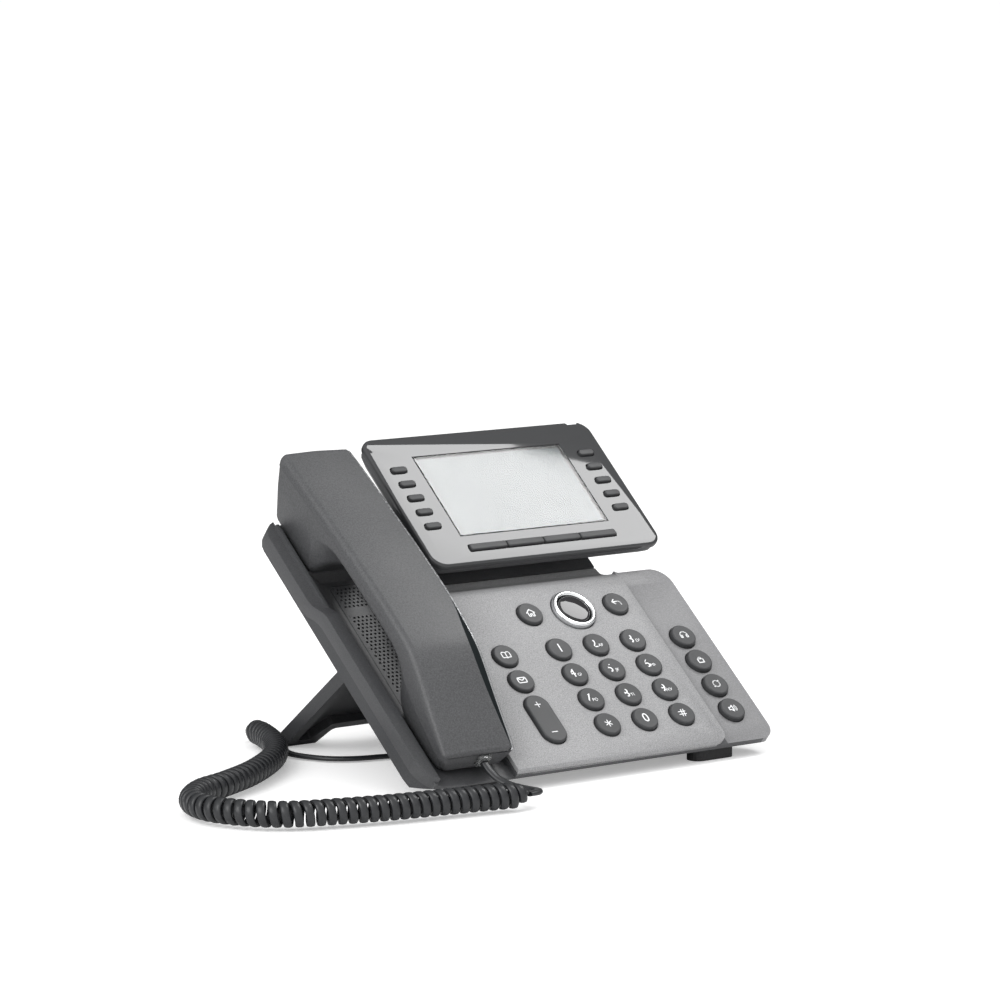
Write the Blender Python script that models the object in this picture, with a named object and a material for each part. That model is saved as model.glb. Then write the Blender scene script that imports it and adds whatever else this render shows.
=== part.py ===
"""Desk IP phone: a sloping base with a handset cradle, a keypad deck, a tilting colour display and a rear stand.

Lengths below are in millimetres and are turned into metres where each mesh is made. Most pieces are drawn in
the deck's own axes: x to the right, s up the slope and n out of the deck, with their origin at the top of the
"5" key. The display's pieces use x, b (up the display) and w (out of its glass) from the glass's centre.
"""

import math

import bmesh
import bpy
from mathutils import Matrix, Vector

MM = 0.001
GAP = 0.3

# Where the deck and the display stand.
DECK_TILT = 39.5
DECK_ORIGIN = (35.25, -48.0, 48.0)
DISPLAY_CENTRE = (0.0, 121.3, 9.0)
DISPLAY_EXTRA_TILT = 1.3

# Base, in the deck's axes.
BASE_LEFT, BASE_RIGHT = -148.0, 77.5
BASE_FRONT, STRIP_END, NECK_END, CRADLE_END = -55.3, 67.0, 104.0, 131.0
PLATE_LEFT, PLATE_RIGHT = -93.0, 44.0
PLATE_TOP, PLATE_THICK = -2.0, 2.4
PLATE_STEP, CRADLE_RIGHT = 62.3, -77.3
STRIP_TOP = -4.8
WALL = 2.5
UNDERSIDE = -18.2
BELLY_SEAM = [(-70.0, -8.2), (-55.3, -8.2), (-52.4, -10.6)]
BELLY_START, BELLY_END = -51.9, -43.5
BULGE = -34.0
BULGE_LEFT, BULGE_RIGHT, BULGE_FRONT, BULGE_BACK = -142.0, 64.0, -24.0, 101.5

# Keys.
KEY_RADIUS, KEY_HOLE_RADIUS, KEY_FLANGE_RADIUS = 7.1, 7.45, 8.0
COLUMN, ROW = 24.5, 17.46
SIDE_COLUMN = 59.5
STRIP_KEY_TOP = -2.2
NAV_CENTRE = (0.0, 42.5)
NAV_RADIUS, NAV_BORE_RADIUS, OK_RADIUS = 12.4, 9.55, 9.2

# Handset bay and handset.
BAY_LEFT, BAY_SLOPE, BAY_RIGHT = -140.0, -124.0, -93.3
HANDSET_X = -116.5
GRILLE = (-121.0, -96.0, -3.0, 92.0)
GRILLE_TOP = -20.0

# Display, in its own axes.
DISPLAY_HALF_WIDTH, DISPLAY_TOP, DISPLAY_BOTTOM = 75.7, 43.4, -47.5
FASCIA_THICK = 3.0
COVER_BACK = -12.0
WINDOW_SIZE = (97.6, 56.4)
LCD_SIZE = (105.4, 67.0, 3.0)
LINE_KEY_X, LINE_KEY_PITCH, LINE_KEY_SIZE = 62.4, 10.0, (9.8, 3.8)
SOFT_KEY_B, SOFT_KEY_PITCH, SOFT_KEY_SIZE = -37.2, 24.3, (23.7, 4.0)

# Display hinge and rear stand hinge, in the deck's axes.
HINGE_S, HINGE_N, SHAFT_RADIUS = 90.0, -8.0, 2.5
STAND_AXIS_S, STAND_AXIS_N = 51.0, -38.2
STAND_ANGLE = 103.4
STAND_LENGTH = 92.0
STAND_LEFT, STAND_RIGHT = -118.4, 48.0

# Curly cord.
COIL_RADIUS = 7.8
LEAD_RADIUS = 1.7

CHARCOAL = (0.045, 0.046, 0.05)
SILVER = (0.38, 0.38, 0.39)
GREY = (0.2, 0.2, 0.205)
KEY_GREY = (0.07, 0.071, 0.075)


def clear_scene():
    for obj in list(bpy.data.objects):
        bpy.data.objects.remove(obj, do_unlink=True)


def make_material(name, colour, roughness, metallic=0.0, alpha=1.0):
    material = bpy.data.materials.new(name)
    material.use_nodes = True
    shader = material.node_tree.nodes["Principled BSDF"]
    shader.inputs["Base Color"].default_value = (*colour, 1.0)
    shader.inputs["Roughness"].default_value = roughness
    shader.inputs["Metallic"].default_value = metallic
    shader.inputs["Alpha"].default_value = alpha
    return material


def make_empty(name, location, tilt, parent=None):
    empty = bpy.data.objects.new(name, None)
    bpy.context.scene.collection.objects.link(empty)
    empty.location = Vector(location) * MM
    empty.rotation_euler = (math.radians(tilt), 0.0, 0.0)
    empty.parent = parent
    return empty


def add_object(name, bm, parent, material=None, origin=(0.0, 0.0, 0.0)):
    """Turn a mesh drawn in millimetres into an object whose origin is the given point."""
    bmesh.ops.recalc_face_normals(bm, faces=bm.faces)
    bmesh.ops.transform(bm, matrix=Matrix.Scale(MM, 4) @ Matrix.Translation(-Vector(origin)), verts=bm.verts)
    mesh = bpy.data.meshes.new(name)
    bm.to_mesh(mesh)
    bm.free()
    mesh.shade_smooth()
    mesh.set_sharp_from_angle(angle=math.radians(35))
    obj = bpy.data.objects.new(name, mesh)
    bpy.context.scene.collection.objects.link(obj)
    obj.parent = parent
    obj.location = Vector(origin) * MM
    if material:
        mesh.materials.append(material)
    return obj


def arc_outline(corners, steps=5):
    """Close an outline from (x, y, radius) corners, each rounded by an arc."""
    points = []
    count = len(corners)
    for index, (x, y, radius) in enumerate(corners):
        here = Vector((x, y))
        if radius <= 0:
            points.append((x, y))
            continue
        before = (Vector(corners[index - 1][:2]) - here).normalized()
        after = (Vector(corners[(index + 1) % count][:2]) - here).normalized()
        half = before.angle(after) / 2
        reach = radius / math.tan(half)
        centre = here + (before + after).normalized() * radius / math.sin(half)
        start = here + before * reach - centre
        turn = -1 if before.cross(after) > 0 else 1
        sweep = (math.pi - 2 * half) * turn
        for step in range(steps + 1):
            angle = sweep * step / steps
            points.append(
                (
                    centre.x + start.x * math.cos(angle) - start.y * math.sin(angle),
                    centre.y + start.x * math.sin(angle) + start.y * math.cos(angle),
                )
            )
    return points


def box_outline(x0, x1, y0, y1, radius=0.0, steps=4):
    corners = [(x0, y0, radius), (x1, y0, radius), (x1, y1, radius), (x0, y1, radius)]
    return arc_outline(corners, steps)


def circle(x, y, radius, steps=20):
    return [
        (x + radius * math.cos(2 * math.pi * i / steps), y + radius * math.sin(2 * math.pi * i / steps))
        for i in range(steps)
    ]


def pill(x, y, width, height, steps=2):
    half = min(width, height) / 2 - 0.001
    return box_outline(x - width / 2, x + width / 2, y - height / 2, y + height / 2, half, steps)


def add_loft(bm, rings):
    """Bridge rings of equal length and cap both ends."""
    made = [[bm.verts.new(point) for point in ring] for ring in rings]
    for low, high in zip(made, made[1:]):
        for i in range(len(low)):
            j = (i + 1) % len(low)
            bm.faces.new((low[i], low[j], high[j], high[i]))
    bm.faces.new(made[0][::-1])
    bm.faces.new(made[-1])


def loft(rings):
    bm = bmesh.new()
    add_loft(bm, rings)
    return bm


def add_prism(bm, outline, low, high):
    add_loft(bm, [[(x, y, low) for x, y in outline], [(x, y, high) for x, y in outline]])


def prism(outline, low, high):
    bm = bmesh.new()
    add_prism(bm, outline, low, high)
    return bm


def add_side_prism(bm, profile, x0, x1):
    """Extrude an (s, n) profile along x."""
    add_loft(bm, [[(x0, s, n) for s, n in profile], [(x1, s, n) for s, n in profile]])


def side_prism(profile, x0, x1):
    bm = bmesh.new()
    add_side_prism(bm, profile, x0, x1)
    return bm


def level(line, s):
    """The height at s of a line through (s, n) points."""
    for (s0, n0), (s1, n1) in zip(line, line[1:]):
        if s0 <= s <= s1:
            return n0 + (n1 - n0) * (s - s0) / (s1 - s0)
    return line[-1][1]


def banded_block(bands):
    """A block from (x, bottom line, top line) bands, whose lines change along x."""
    places = sorted({s for _, low, high in bands for s, _ in low + high})
    rings = []
    for x, low, high in bands:
        ring = [(x, s, level(low, s)) for s in places]
        rings.append(ring + [(x, s, level(high, s)) for s in reversed(places)])
    return loft(rings)


def stepped(outlines):
    """A stack of outlines of equal length, given as (outline, height) from the bottom up."""
    return loft([[(x, y, height) for x, y in outline] for outline, height in outlines])


def turned(x, y, profile, steps=20):
    """A round solid about an axis along n, from (radius, height) pairs."""
    return loft([[(px, py, height) for px, py in circle(x, y, radius, steps)] for radius, height in profile])


def add_rod(bm, x0, x1, s, n, radius, steps=20):
    add_side_prism(bm, circle(s, n, radius, steps), x0, x1)


def helper(name, bm, parent):
    obj = add_object(name, bm, parent)
    obj.hide_render = True
    obj.display_type = "WIRE"
    return obj


def combine(target, other, operation):
    modifier = target.modifiers.new(other.name, "BOOLEAN")
    modifier.operation = operation
    modifier.object = other


def cut(target, bm, name):
    combine(target, helper(f"cut_{target.name}_{name}", bm, target.parent), "DIFFERENCE")


def join(target, bm, name):
    combine(target, helper(f"add_{target.name}_{name}", bm, target.parent), "UNION")


def soften(obj, width, segments=2, angle=40):
    """Round the edges; it comes before the Booleans that follow it."""
    modifier = obj.modifiers.new("soften", "BEVEL")
    modifier.width = width * MM
    modifier.segments = segments
    modifier.limit_method = "ANGLE"
    modifier.angle_limit = math.radians(angle)
    modifier.harden_normals = False


def base_outline(inset=0.0):
    """The base seen square to the deck: a keypad block, a neck behind it and a longer cradle at the left."""
    left, right = BASE_LEFT + inset, BASE_RIGHT - inset
    return arc_outline(
        [
            (left, BASE_FRONT + inset, 17 - inset),
            (right, BASE_FRONT + inset, 9 - inset),
            (right, STRIP_END - inset, 11 - inset),
            (PLATE_RIGHT + 0.2 - inset, STRIP_END - inset, 3),
            (PLATE_RIGHT + 0.2 - inset, NECK_END - inset, 10),
            (-76 - inset, NECK_END - inset, 6),
            (-76 - inset, CRADLE_END - inset, 9),
            (left, CRADLE_END - inset, 12 - inset),
        ]
    )


def wall_top():
    """The cradle wall's top edge, with the step down towards the back."""
    return [(-70, -2.7), (56, -2.7), (60, -3.1), (64, -4.6), (69, -7.2), (73, -8.4), (78, -8.7), (140, -8.7)]


def seam():
    """Where the halves of the base meet, from the belly's slope to the back. It steps down with the wall."""
    step_down = [(57, -10.6), (61, -11.2), (65, -12.8), (70, -15.6), (74, -16.7), (79, -17.0)]
    return BELLY_SEAM + step_down + [(140, -17.0)]


def neck_seam():
    """The seam under the keypad block and the neck, which dips below the plate's end."""
    return BELLY_SEAM + [(57, -10.6), (72, -19.8), (140, -19.8)]


def under_seam(line):
    """The rear half's top edge, a gap under the seam, from where the belly's slope becomes the rear half's."""
    return [(BELLY_START, BELLY_SEAM[-1][1] - GAP)] + lower(line[len(BELLY_SEAM):], GAP)


def plate_profile():
    flat = [(BASE_FRONT, PLATE_TOP), (58, PLATE_TOP)]
    return flat + [(63, -2.9), (67, -5.6), (71, -10.2), (75, -13.6), (80, -14.6)]


def deck_under():
    """The housing's top under the keypad plate, then the shelf of the neck that carries the hinge ears."""
    under = lower(plate_profile(), PLATE_THICK + GAP)
    return [(-70, under[0][1])] + under[1:] + [(80.35, -17.3), (80.4, -14.8), (140, -14.8)]


def ledge_top():
    """The housing between the bay and the neck: under the plate, then a wall like the one at the left."""
    under = lower(plate_profile(), PLATE_THICK + GAP)
    step, past = PLATE_STEP, PLATE_STEP + 0.05
    ledge = [(-70, under[0][1]), under[1], (step, level(under, step))]
    return ledge + [(past, level(wall_top(), past)), *wall_top()[3:]]


def lower(points, amount):
    return [(s, n - amount) for s, n in points]


def trough(lines, spread, top):
    """The bay that the handset lies in, between a line along its left side and one along its floor."""
    side, floor = lines
    rings = []
    for x, line in ((BAY_LEFT - spread, side), (BAY_SLOPE - spread, floor), (BAY_RIGHT + spread, floor)):
        rings.append([(x, s, n) for s, n in line] + [(x, line[-1][0], top), (x, line[0][0], top)])
    return loft(rings)


def trough_lines(front, shelf, floor, back):
    """Both lines of a trough with flat ends, whose middle slopes from the shelf to the floor."""
    (near, _), (far, _) = floor
    return front + [(near, shelf), (far, shelf)] + back, front + floor + back


def front_housing(parent, material):
    body = add_object("base_front_housing", prism(base_outline(), -30.0, 0.5), parent, material)
    block = banded_block(
        [
            (-160, seam(), wall_top()),
            (PLATE_LEFT - 0.1, seam(), wall_top()),
            (PLATE_LEFT, seam(), ledge_top()),
            (CRADLE_RIGHT, seam(), ledge_top()),
            (CRADLE_RIGHT + 0.1, neck_seam(), deck_under()),
            (PLATE_RIGHT + GAP, neck_seam(), deck_under()),
            (PLATE_RIGHT + GAP + 0.1, neck_seam(), [(-70, STRIP_TOP), (140, STRIP_TOP)]),
            (90, neck_seam(), [(-70, STRIP_TOP), (140, STRIP_TOP)]),
        ]
    )
    combine(body, helper("shape_base_front_housing", block, parent), "INTERSECT")
    # The cavities under the deck and under the strip, and the window that the keys come through.
    cavities = bmesh.new()
    add_prism(cavities, box_outline(BAY_RIGHT + 2.4, PLATE_RIGHT - 3.5, -50, 56), -30, STRIP_TOP - WALL)
    add_prism(cavities, box_outline(PLATE_RIGHT - 2, BASE_RIGHT - WALL, -50, STRIP_END - WALL - 1, 4), -30,
              STRIP_TOP - WALL)
    cut(body, cavities, "cavities")
    cut(body, prism(box_outline(-68, PLATE_RIGHT - 4, -49, 55.6, 3), -30, 12), "key_window")
    # The tub that holds the handset hangs below the seam into the rear housing.
    front = [(-53, -9.4), (-41, -11.6), (-34, -12.2), (-7.3, -12.3)]
    tub = trough_lines(front, -10.2, [(2, -22.2), (96.4, -22.2)], [(99.6, -14.8), (126, -14.8)])
    join(body, trough(tub, 1.8, -6.0), "tub")
    front = [(-70, -7.2), (-49, -7.4), (-41, -9.4), (-34, -10), (-6, -10.1)]
    bay = trough_lines(front, -8.0, [(4, GRILLE_TOP), (95, GRILLE_TOP)], [(98, -12.6), (140, -12.6)])
    cut(body, trough(bay, 0.0, 12.0), "bay")
    left, right, front, back = GRILLE
    hole = box_outline(left - GAP, right + GAP, front - GAP, back + GAP, 3)
    cut(body, prism(hole, -40, -15), "grille_hole")
    cut(body, prism(box_outline(-122.4, -110.6, 108.6, 117.4, 1), -40, 5), "hook_hole")
    holes = bmesh.new()
    for _, x, s in strip_keys():
        add_prism(holes, circle(x, s, KEY_HOLE_RADIUS), -12, 0)
    cut(body, holes, "strip_keys")
    # Ears that carry the display's hinge shaft.
    for index, x in enumerate((-60.0, 24.0)):
        ear = bmesh.new()
        profile = [(HINGE_S - 6, -15.5), (HINGE_S + 6, -15.5), (HINGE_S + 3.6, HINGE_N)]
        profile += [
            (HINGE_S + 3.7 * math.cos(math.radians(a)), HINGE_N + 3.7 * math.sin(math.radians(a)))
            for a in range(20, 161, 20)
        ]
        profile.append((HINGE_S - 3.6, HINGE_N))
        add_side_prism(ear, profile, x, x + 7)
        join(body, ear, f"ear_{index}")
    bore = bmesh.new()
    add_rod(bore, -62, 33, HINGE_S, HINGE_N, SHAFT_RADIUS + GAP)
    cut(body, bore, "hinge_bore")
    return body


def bulge_outline(inset):
    """The deep part of the rear housing, which narrows behind the keypad block."""
    left, right, front = BULGE_LEFT + inset, BULGE_RIGHT - inset, BULGE_FRONT + inset
    neck, step, back = PLATE_RIGHT - 2 - inset, STRIP_END - 3 - inset, BULGE_BACK - inset
    cradle, cradle_back = CRADLE_RIGHT - 2 - inset, BULGE_BACK + 10 - inset
    corners = [(left, front, 6), (right, front, 6), (right, step, 4), (neck, step, 2), (neck, back, 5)]
    return arc_outline(corners + [(cradle, back, 2), (cradle, cradle_back, 4), (left, cradle_back, 4)])


def rear_housing(parent, material):
    body = add_object("base_rear_housing", prism(base_outline(0.4), -30.0, 3.0), parent, material)
    underside = [(BELLY_START, -11.06), (BELLY_END, UNDERSIDE), (140, UNDERSIDE)]
    neck_edge = under_seam(neck_seam())[:2] + [(68.5, UNDERSIDE + 0.2), (140, UNDERSIDE + 0.2)]
    block = banded_block(
        [
            (-160, underside, under_seam(seam())),
            (CRADLE_RIGHT - 0.4, underside, under_seam(seam())),
            (CRADLE_RIGHT - 0.3, underside, neck_edge),
            (90, underside, neck_edge),
        ]
    )
    combine(body, helper("shape_base_rear_housing", block, parent), "INTERSECT")
    rings = [[(x, s, -17.4) for x, s in bulge_outline(0.0)], [(x, s, BULGE) for x, s in bulge_outline(9.5)]]
    join(body, loft(rings), "bulge")
    neck = lower(neck_seam()[-3:], GAP) + [(140, 12), (57, 12)]
    cut(body, side_prism(neck, CRADLE_RIGHT - 0.35, 91), "neck")
    cut(body, prism(box_outline(-144.6, BAY_RIGHT + 3.4, -46, 124, 4), UNDERSIDE + WALL, 12), "cradle_cavity")
    cut(body, prism(box_outline(BAY_RIGHT + 3, 73.5, -44, 62, 4), UNDERSIDE + WALL, 12), "deck_cavity")
    mouth = [(x, s, -9.0) for x, s in bulge_outline(2.6)]
    inner = [mouth, [(x, s, BULGE + WALL) for x, s in bulge_outline(11.8)]]
    cut(body, loft(inner), "bulge_cavity")
    # Lugs for the rear stand's hinge bar.
    for index, x in enumerate((-90.0, 14.0)):
        lug = bmesh.new()
        profile = [(STAND_AXIS_S + 6.5, BULGE + 1.2), (STAND_AXIS_S - 6.5, BULGE + 1.2)]
        profile += [
            (STAND_AXIS_S + 4.6 * math.cos(math.radians(a)), STAND_AXIS_N + 4.6 * math.sin(math.radians(a)))
            for a in range(190, 351, 20)
        ]
        add_side_prism(lug, profile, x, x + 12)
        join(body, lug, f"lug_{index}")
    bore = bmesh.new()
    add_rod(bore, -92, 28, STAND_AXIS_S, STAND_AXIS_N, SHAFT_RADIUS + GAP)
    cut(body, bore, "stand_bore")
    jack = prism(box_outline(-64.2, -55.8, 23.4, 30.6), -40, -20)
    cut(body, jack, "cord_jack")
    return body


def dial_keys():
    names = ("1", "2", "3", "4", "5", "6", "7", "8", "9", "star", "0", "hash")
    for index, name in enumerate(names):
        yield f"key_{name}", (index % 3 - 1) * COLUMN, (1 - index // 3) * ROW


def plate_keys():
    yield from dial_keys()
    yield "key_home", -28.5, 43.0
    yield "key_back", 28.5, 43.0
    yield "key_phonebook", -SIDE_COLUMN, ROW
    yield "key_voicemail", -SIDE_COLUMN, 0.0


def strip_keys():
    for name, row in (("key_headset", 1), ("key_private", 0), ("key_redial", -1), ("key_speaker", -2)):
        yield name, SIDE_COLUMN, row * ROW


VOLUME = (-SIDE_COLUMN, -1.5 * ROW, 2 * KEY_RADIUS, 31.6)


def keypad_plate(parent, material):
    top = plate_profile()
    profile = top + lower(top, PLATE_THICK)[::-1]
    body = add_object("keypad_plate", side_prism(profile, PLATE_LEFT, PLATE_RIGHT), parent, material)
    soften(body, 0.6, 2)
    cut(body, prism(box_outline(-100, CRADLE_RIGHT + GAP, PLATE_STEP - GAP, 140), -30, 12), "step")
    holes = bmesh.new()
    for _, x, s in plate_keys():
        add_prism(holes, circle(x, s, KEY_HOLE_RADIUS), -8, 4)
    add_prism(holes, circle(*NAV_CENTRE, NAV_RADIUS + 0.4, 36), -8, 4)
    x, s, width, length = VOLUME
    add_prism(holes, pill(x, s, width + 0.7, length + 0.7, 5), -8, 4)
    cut(body, holes, "holes")
    corner = prism(arc_outline([(PLATE_RIGHT - 7, BASE_FRONT + 7, 0), (PLATE_RIGHT - 7, -70, 0), (60, -70, 0),
                                (60, BASE_FRONT + 7, 0)]), -8, 4)
    rounding = turned(PLATE_RIGHT - 7, BASE_FRONT + 7, [(7, -9), (7, 5)], 40)
    cutter = helper("cut_keypad_plate_corner", corner, parent)
    combine(cutter, helper("cut_keypad_plate_rounding", rounding, parent), "DIFFERENCE")
    combine(body, cutter, "DIFFERENCE")
    return body


def round_key(name, x, s, top, under, parent, material):
    """A cap with a rim below the panel that it comes through."""
    rim = under - GAP
    profile = [
        (KEY_FLANGE_RADIUS, rim - 1.0),
        (KEY_FLANGE_RADIUS, rim),
        (KEY_RADIUS, rim),
        (KEY_RADIUS, top - 0.6),
        (KEY_RADIUS - 0.6, top),
    ]
    return add_object(name, turned(x, s, profile), parent, material, (x, s, top))


def volume_rocker(parent, material):
    x, s, width, length = VOLUME
    layers = [
        (pill(x, s, width + 1.4, length + 1.4, 5), -5.7),
        (pill(x, s, width + 1.4, length + 1.4, 5), -4.9),
        (pill(x, s, width, length, 5), -4.9),
        (pill(x, s, width, length, 5), -0.6),
        (pill(x, s, width - 1.4, length - 1.4, 5), 0.0),
    ]
    return add_object("volume_rocker", stepped(layers), parent, material, (x, s, -4.0))


def navigation(parent, chrome, gloss, plastic):
    x, s = NAV_CENTRE
    ring = [
        (NAV_RADIUS, -4.4),
        (NAV_RADIUS, -0.4),
        (NAV_RADIUS - 0.5, 0.5),
        (NAV_RADIUS - 1.4, 0.7),
        (NAV_BORE_RADIUS + 0.5, 0.3),
        (NAV_BORE_RADIUS, -0.3),
    ]
    body = add_object("nav_ring", turned(x, s, ring, 36), parent, chrome, (x, s, -3.0))
    cut(body, turned(x, s, [(NAV_BORE_RADIUS, -6), (NAV_BORE_RADIUS, 3)], 36), "bore")
    button = [(OK_RADIUS, -4.2), (OK_RADIUS, -0.7), (OK_RADIUS - 0.5, -0.1), (OK_RADIUS - 3, 0.2), (2.0, 0.3)]
    add_object("ok_button", turned(x, s, button, 32), parent, gloss, (x, s, 0.0))
    carrier = turned(x, s, [(NAV_RADIUS - 0.6, -7.0), (NAV_RADIUS - 0.6, -5.6)], 28)
    add_object("nav_actuator", carrier, parent, plastic, (x, s, -3.0))


def grille(parent, material):
    left, right, front, back = GRILLE
    outline = box_outline(left, right, front, back, 2.7)
    return add_object("speaker_grille", prism(outline, GRILLE_TOP - 1.8, GRILLE_TOP), parent, material)


def loudspeaker(parent, material):
    profile = [(9.5, -31.0), (9.5, -28.6), (17.5, -24.6), (17.5, -23.0)]
    body = turned(-113.5, 40.0, profile, 24)
    bmesh.ops.scale(body, vec=(0.72, 1.0, 1.0), verts=body.verts, space=Matrix.Translation((113.5, -40.0, 0)))
    return add_object("loudspeaker", body, parent, material)


def main_board(parent, material):
    outline = box_outline(-64, 72, -43, 50, 2)
    return add_object("main_pcb", prism(outline, -12.6, -11.0), parent, material)


def hook_switch(parent, material):
    profile = [(109.0, -15.2), (117.0, -15.2), (117.0, -13.4), (115.4, -12.4), (110.6, -12.4), (109.0, -13.4)]
    body = side_prism(profile, -122.0, -111.0)
    return add_object("hook_switch", body, parent, material, (-116.5, 113.0, -12.4))


# Handset stations: place along the slope, lean, outer face, parting drop, inner face, half widths of both.
HANDSET_STATIONS = (
    (-47.0, 0.0, 5.6, 1.4, -3.4, 20.6, 16.0),
    (-46.0, 0.0, 7.0, 1.6, -4.8, 21.6, 17.2),
    (-40.0, 0.0, 9.2, 2.4, -8.4, 22.0, 18.0),
    (-22.0, 0.0, 15.8, 4.0, -9.6, 22.0, 18.0),
    (-8.0, 0.0, 21.2, 5.0, -9.7, 22.0, 17.5),
    (2.0, 0.0, 24.6, 5.2, -6.0, 22.0, 16.0),
    (10.0, 0.0, 26.4, 5.2, 3.0, 22.0, 14.0),
    (20.0, 0.05, 27.1, 5.2, 8.2, 22.0, 12.6),
    (40.0, 0.1, 27.2, 5.2, 9.0, 22.0, 12.0),
    (66.0, 0.2, 26.4, 5.2, 9.0, 22.0, 12.0),
    (80.0, 0.3, 25.5, 5.2, 7.5, 22.0, 13.0),
    (90.0, 0.36, 24.8, 5.2, 0.0, 22.0, 16.0),
    (99.0, 0.42, 24.2, 5.2, -10.0, 22.0, 18.5),
    (104.0, 0.44, 23.9, 5.2, -12.0, 22.0, 19.0),
    (124.0, 0.46, 22.6, 5.2, -12.0, 22.0, 19.0),
    (138.0, 0.476, 21.4, 5.2, -12.0, 21.8, 18.8),
    (140.2, 0.476, 20.2, 4.6, -10.6, 20.6, 17.4),
)


def handset_ring(station, half, inset, parting_shift):
    """One section of the handset's outer (half 1) or inner (half -1) shell, closed along the parting."""
    s, lean, top, drop, bottom, wide, narrow = station
    parting = top - drop
    wide, narrow = wide - inset, narrow - inset
    top, bottom = top - inset, bottom + inset
    edge = parting + parting_shift
    if half > 0:
        side = [(wide, edge), (wide - 0.2, top - 0.55 * drop), (wide - 1.2, top - 0.3 * drop)]
        side += [(wide - 2.8, top - 0.1 * drop), (wide - 6.5, top + 0.25), (wide * 0.36, top + 0.6)]
    else:
        depth = edge - bottom
        side = [(wide, edge), (wide - 0.6, edge - 0.2 * depth), (narrow + 2.6, bottom + 0.3 * depth)]
        side += [(narrow + 1.0, bottom + 0.1 * depth), (narrow - 1.6, bottom + 0.2), (narrow * 0.4, bottom)]
    outline = side + [(-x, n) for x, n in reversed(side)]
    return [(HANDSET_X + x, s + lean * n, n) for x, n in outline]


def handset_shell(name, half, shift, parent, material):
    rings = [handset_ring(station, half, 0.0, shift) for station in HANDSET_STATIONS]
    body = add_object(name, loft(rings), parent, material, (HANDSET_X, 45.0, 0.0))
    stations = [list(station) for station in HANDSET_STATIONS[1:-1]]
    stations[0][0] += 2.0
    stations[-1][0] -= 2.0
    core = [handset_ring(station, half, 2.2, -3.0 * half) for station in stations]
    cut(body, loft(core), "core")
    if half < 0:
        cut(body, prism(box_outline(-117.0, -108.6, -60, -41), -2.4, 4.6), "cord_jack")
    return body


def handset_plug(parent, material):
    outline = box_outline(-116.6, -109.0, -49.4, -37.5, 0.8, 2)
    return add_object("handset_plug", prism(outline, -2.0, 4.2), parent, material)


def base_plug(parent, material):
    body = prism(box_outline(-63.8, -56.2, 23.8, 30.2), -40.0, -29.0)
    return add_object("base_plug", body, parent, material)


def rear_stand(parent, root, material):
    """A panel with two feet and an arch between them, stiffened by a rim, on a bar that turns in the lugs."""
    left, right, foot = STAND_LEFT, STAND_RIGHT, -STAND_LENGTH
    arch = foot + 23.5
    corners = [(left, 0, 0), (left, foot, 0), (left + 20.4, foot, 0), (left + 20.4, foot + 7, 0)]
    corners += [(left + 23.6, arch, 3)]
    mirrored = [(left + right - x, y, radius) for x, y, radius in reversed(corners)]
    outline = arc_outline(corners + mirrored, 3)
    frame = make_empty("stand_frame", (0.0, STAND_AXIS_S, STAND_AXIS_N), STAND_ANGLE, parent)
    body = add_object("rear_stand", prism(outline, -6.8, 0.6), frame, material)
    pocket = arc_outline(
        [(left + 6, 8, 0), (left + 6, foot + 14, 2), (left + 14, foot + 14, 2), (left + 20, arch + 6, 3)]
        + [(right - 20, arch + 6, 3), (right - 14, foot + 14, 2)]
        + [(right - 6, foot + 14, 2), (right - 6, 8, 0)],
        3,
    )
    cut(body, prism(pocket, -4.2, 9.0), "pocket")
    bar = bmesh.new()
    add_rod(bar, left + 0.5, right - 0.5, 0, 0, 3.6)
    join(body, bar, "bar")
    for index, x in enumerate((-90.6, 13.4)):
        notch = prism(box_outline(x, x + 13.2, -7.0, 8.0), -9, 8)
        cut(body, notch, f"notch_{index}")
    pin = bmesh.new()
    add_rod(pin, left + 4, right - 4, 0, 0, SHAFT_RADIUS)
    join(body, pin, "pin")
    # The feet end flat on the desk and upright at the back.
    desk = helper("cut_rear_stand_desk", prism(box_outline(-160, 100, 60, 200), -90, -DECK_ORIGIN[2]), root)
    combine(body, desk, "DIFFERENCE")
    heel = helper("cut_rear_stand_heel", prism(box_outline(-160, 100, 137.5, 200), -90, -30), root)
    combine(body, heel, "DIFFERENCE")
    return body


def front_foot(name, x, material, root):
    outline = box_outline(x - 13.5, x + 13.5, -33.0, -22.0, 5.0)
    return add_object(name, prism(outline, -48.0, -42.2), root, material, (x, -27.5, -48.0))


def display_outline(inset=0.0, radius=8.0):
    half = DISPLAY_HALF_WIDTH - inset
    return box_outline(-half, half, DISPLAY_BOTTOM + inset, DISPLAY_TOP - inset, radius, 5)


def line_keys():
    for side, sign in (("left", -1), ("right", 1)):
        for index in range(5):
            yield f"line_key_{side}_{index + 1}", sign * LINE_KEY_X, (2 - index) * LINE_KEY_PITCH


def soft_keys():
    for index in range(4):
        yield f"soft_key_{index + 1}", (index - 1.5) * SOFT_KEY_PITCH, SOFT_KEY_B


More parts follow.
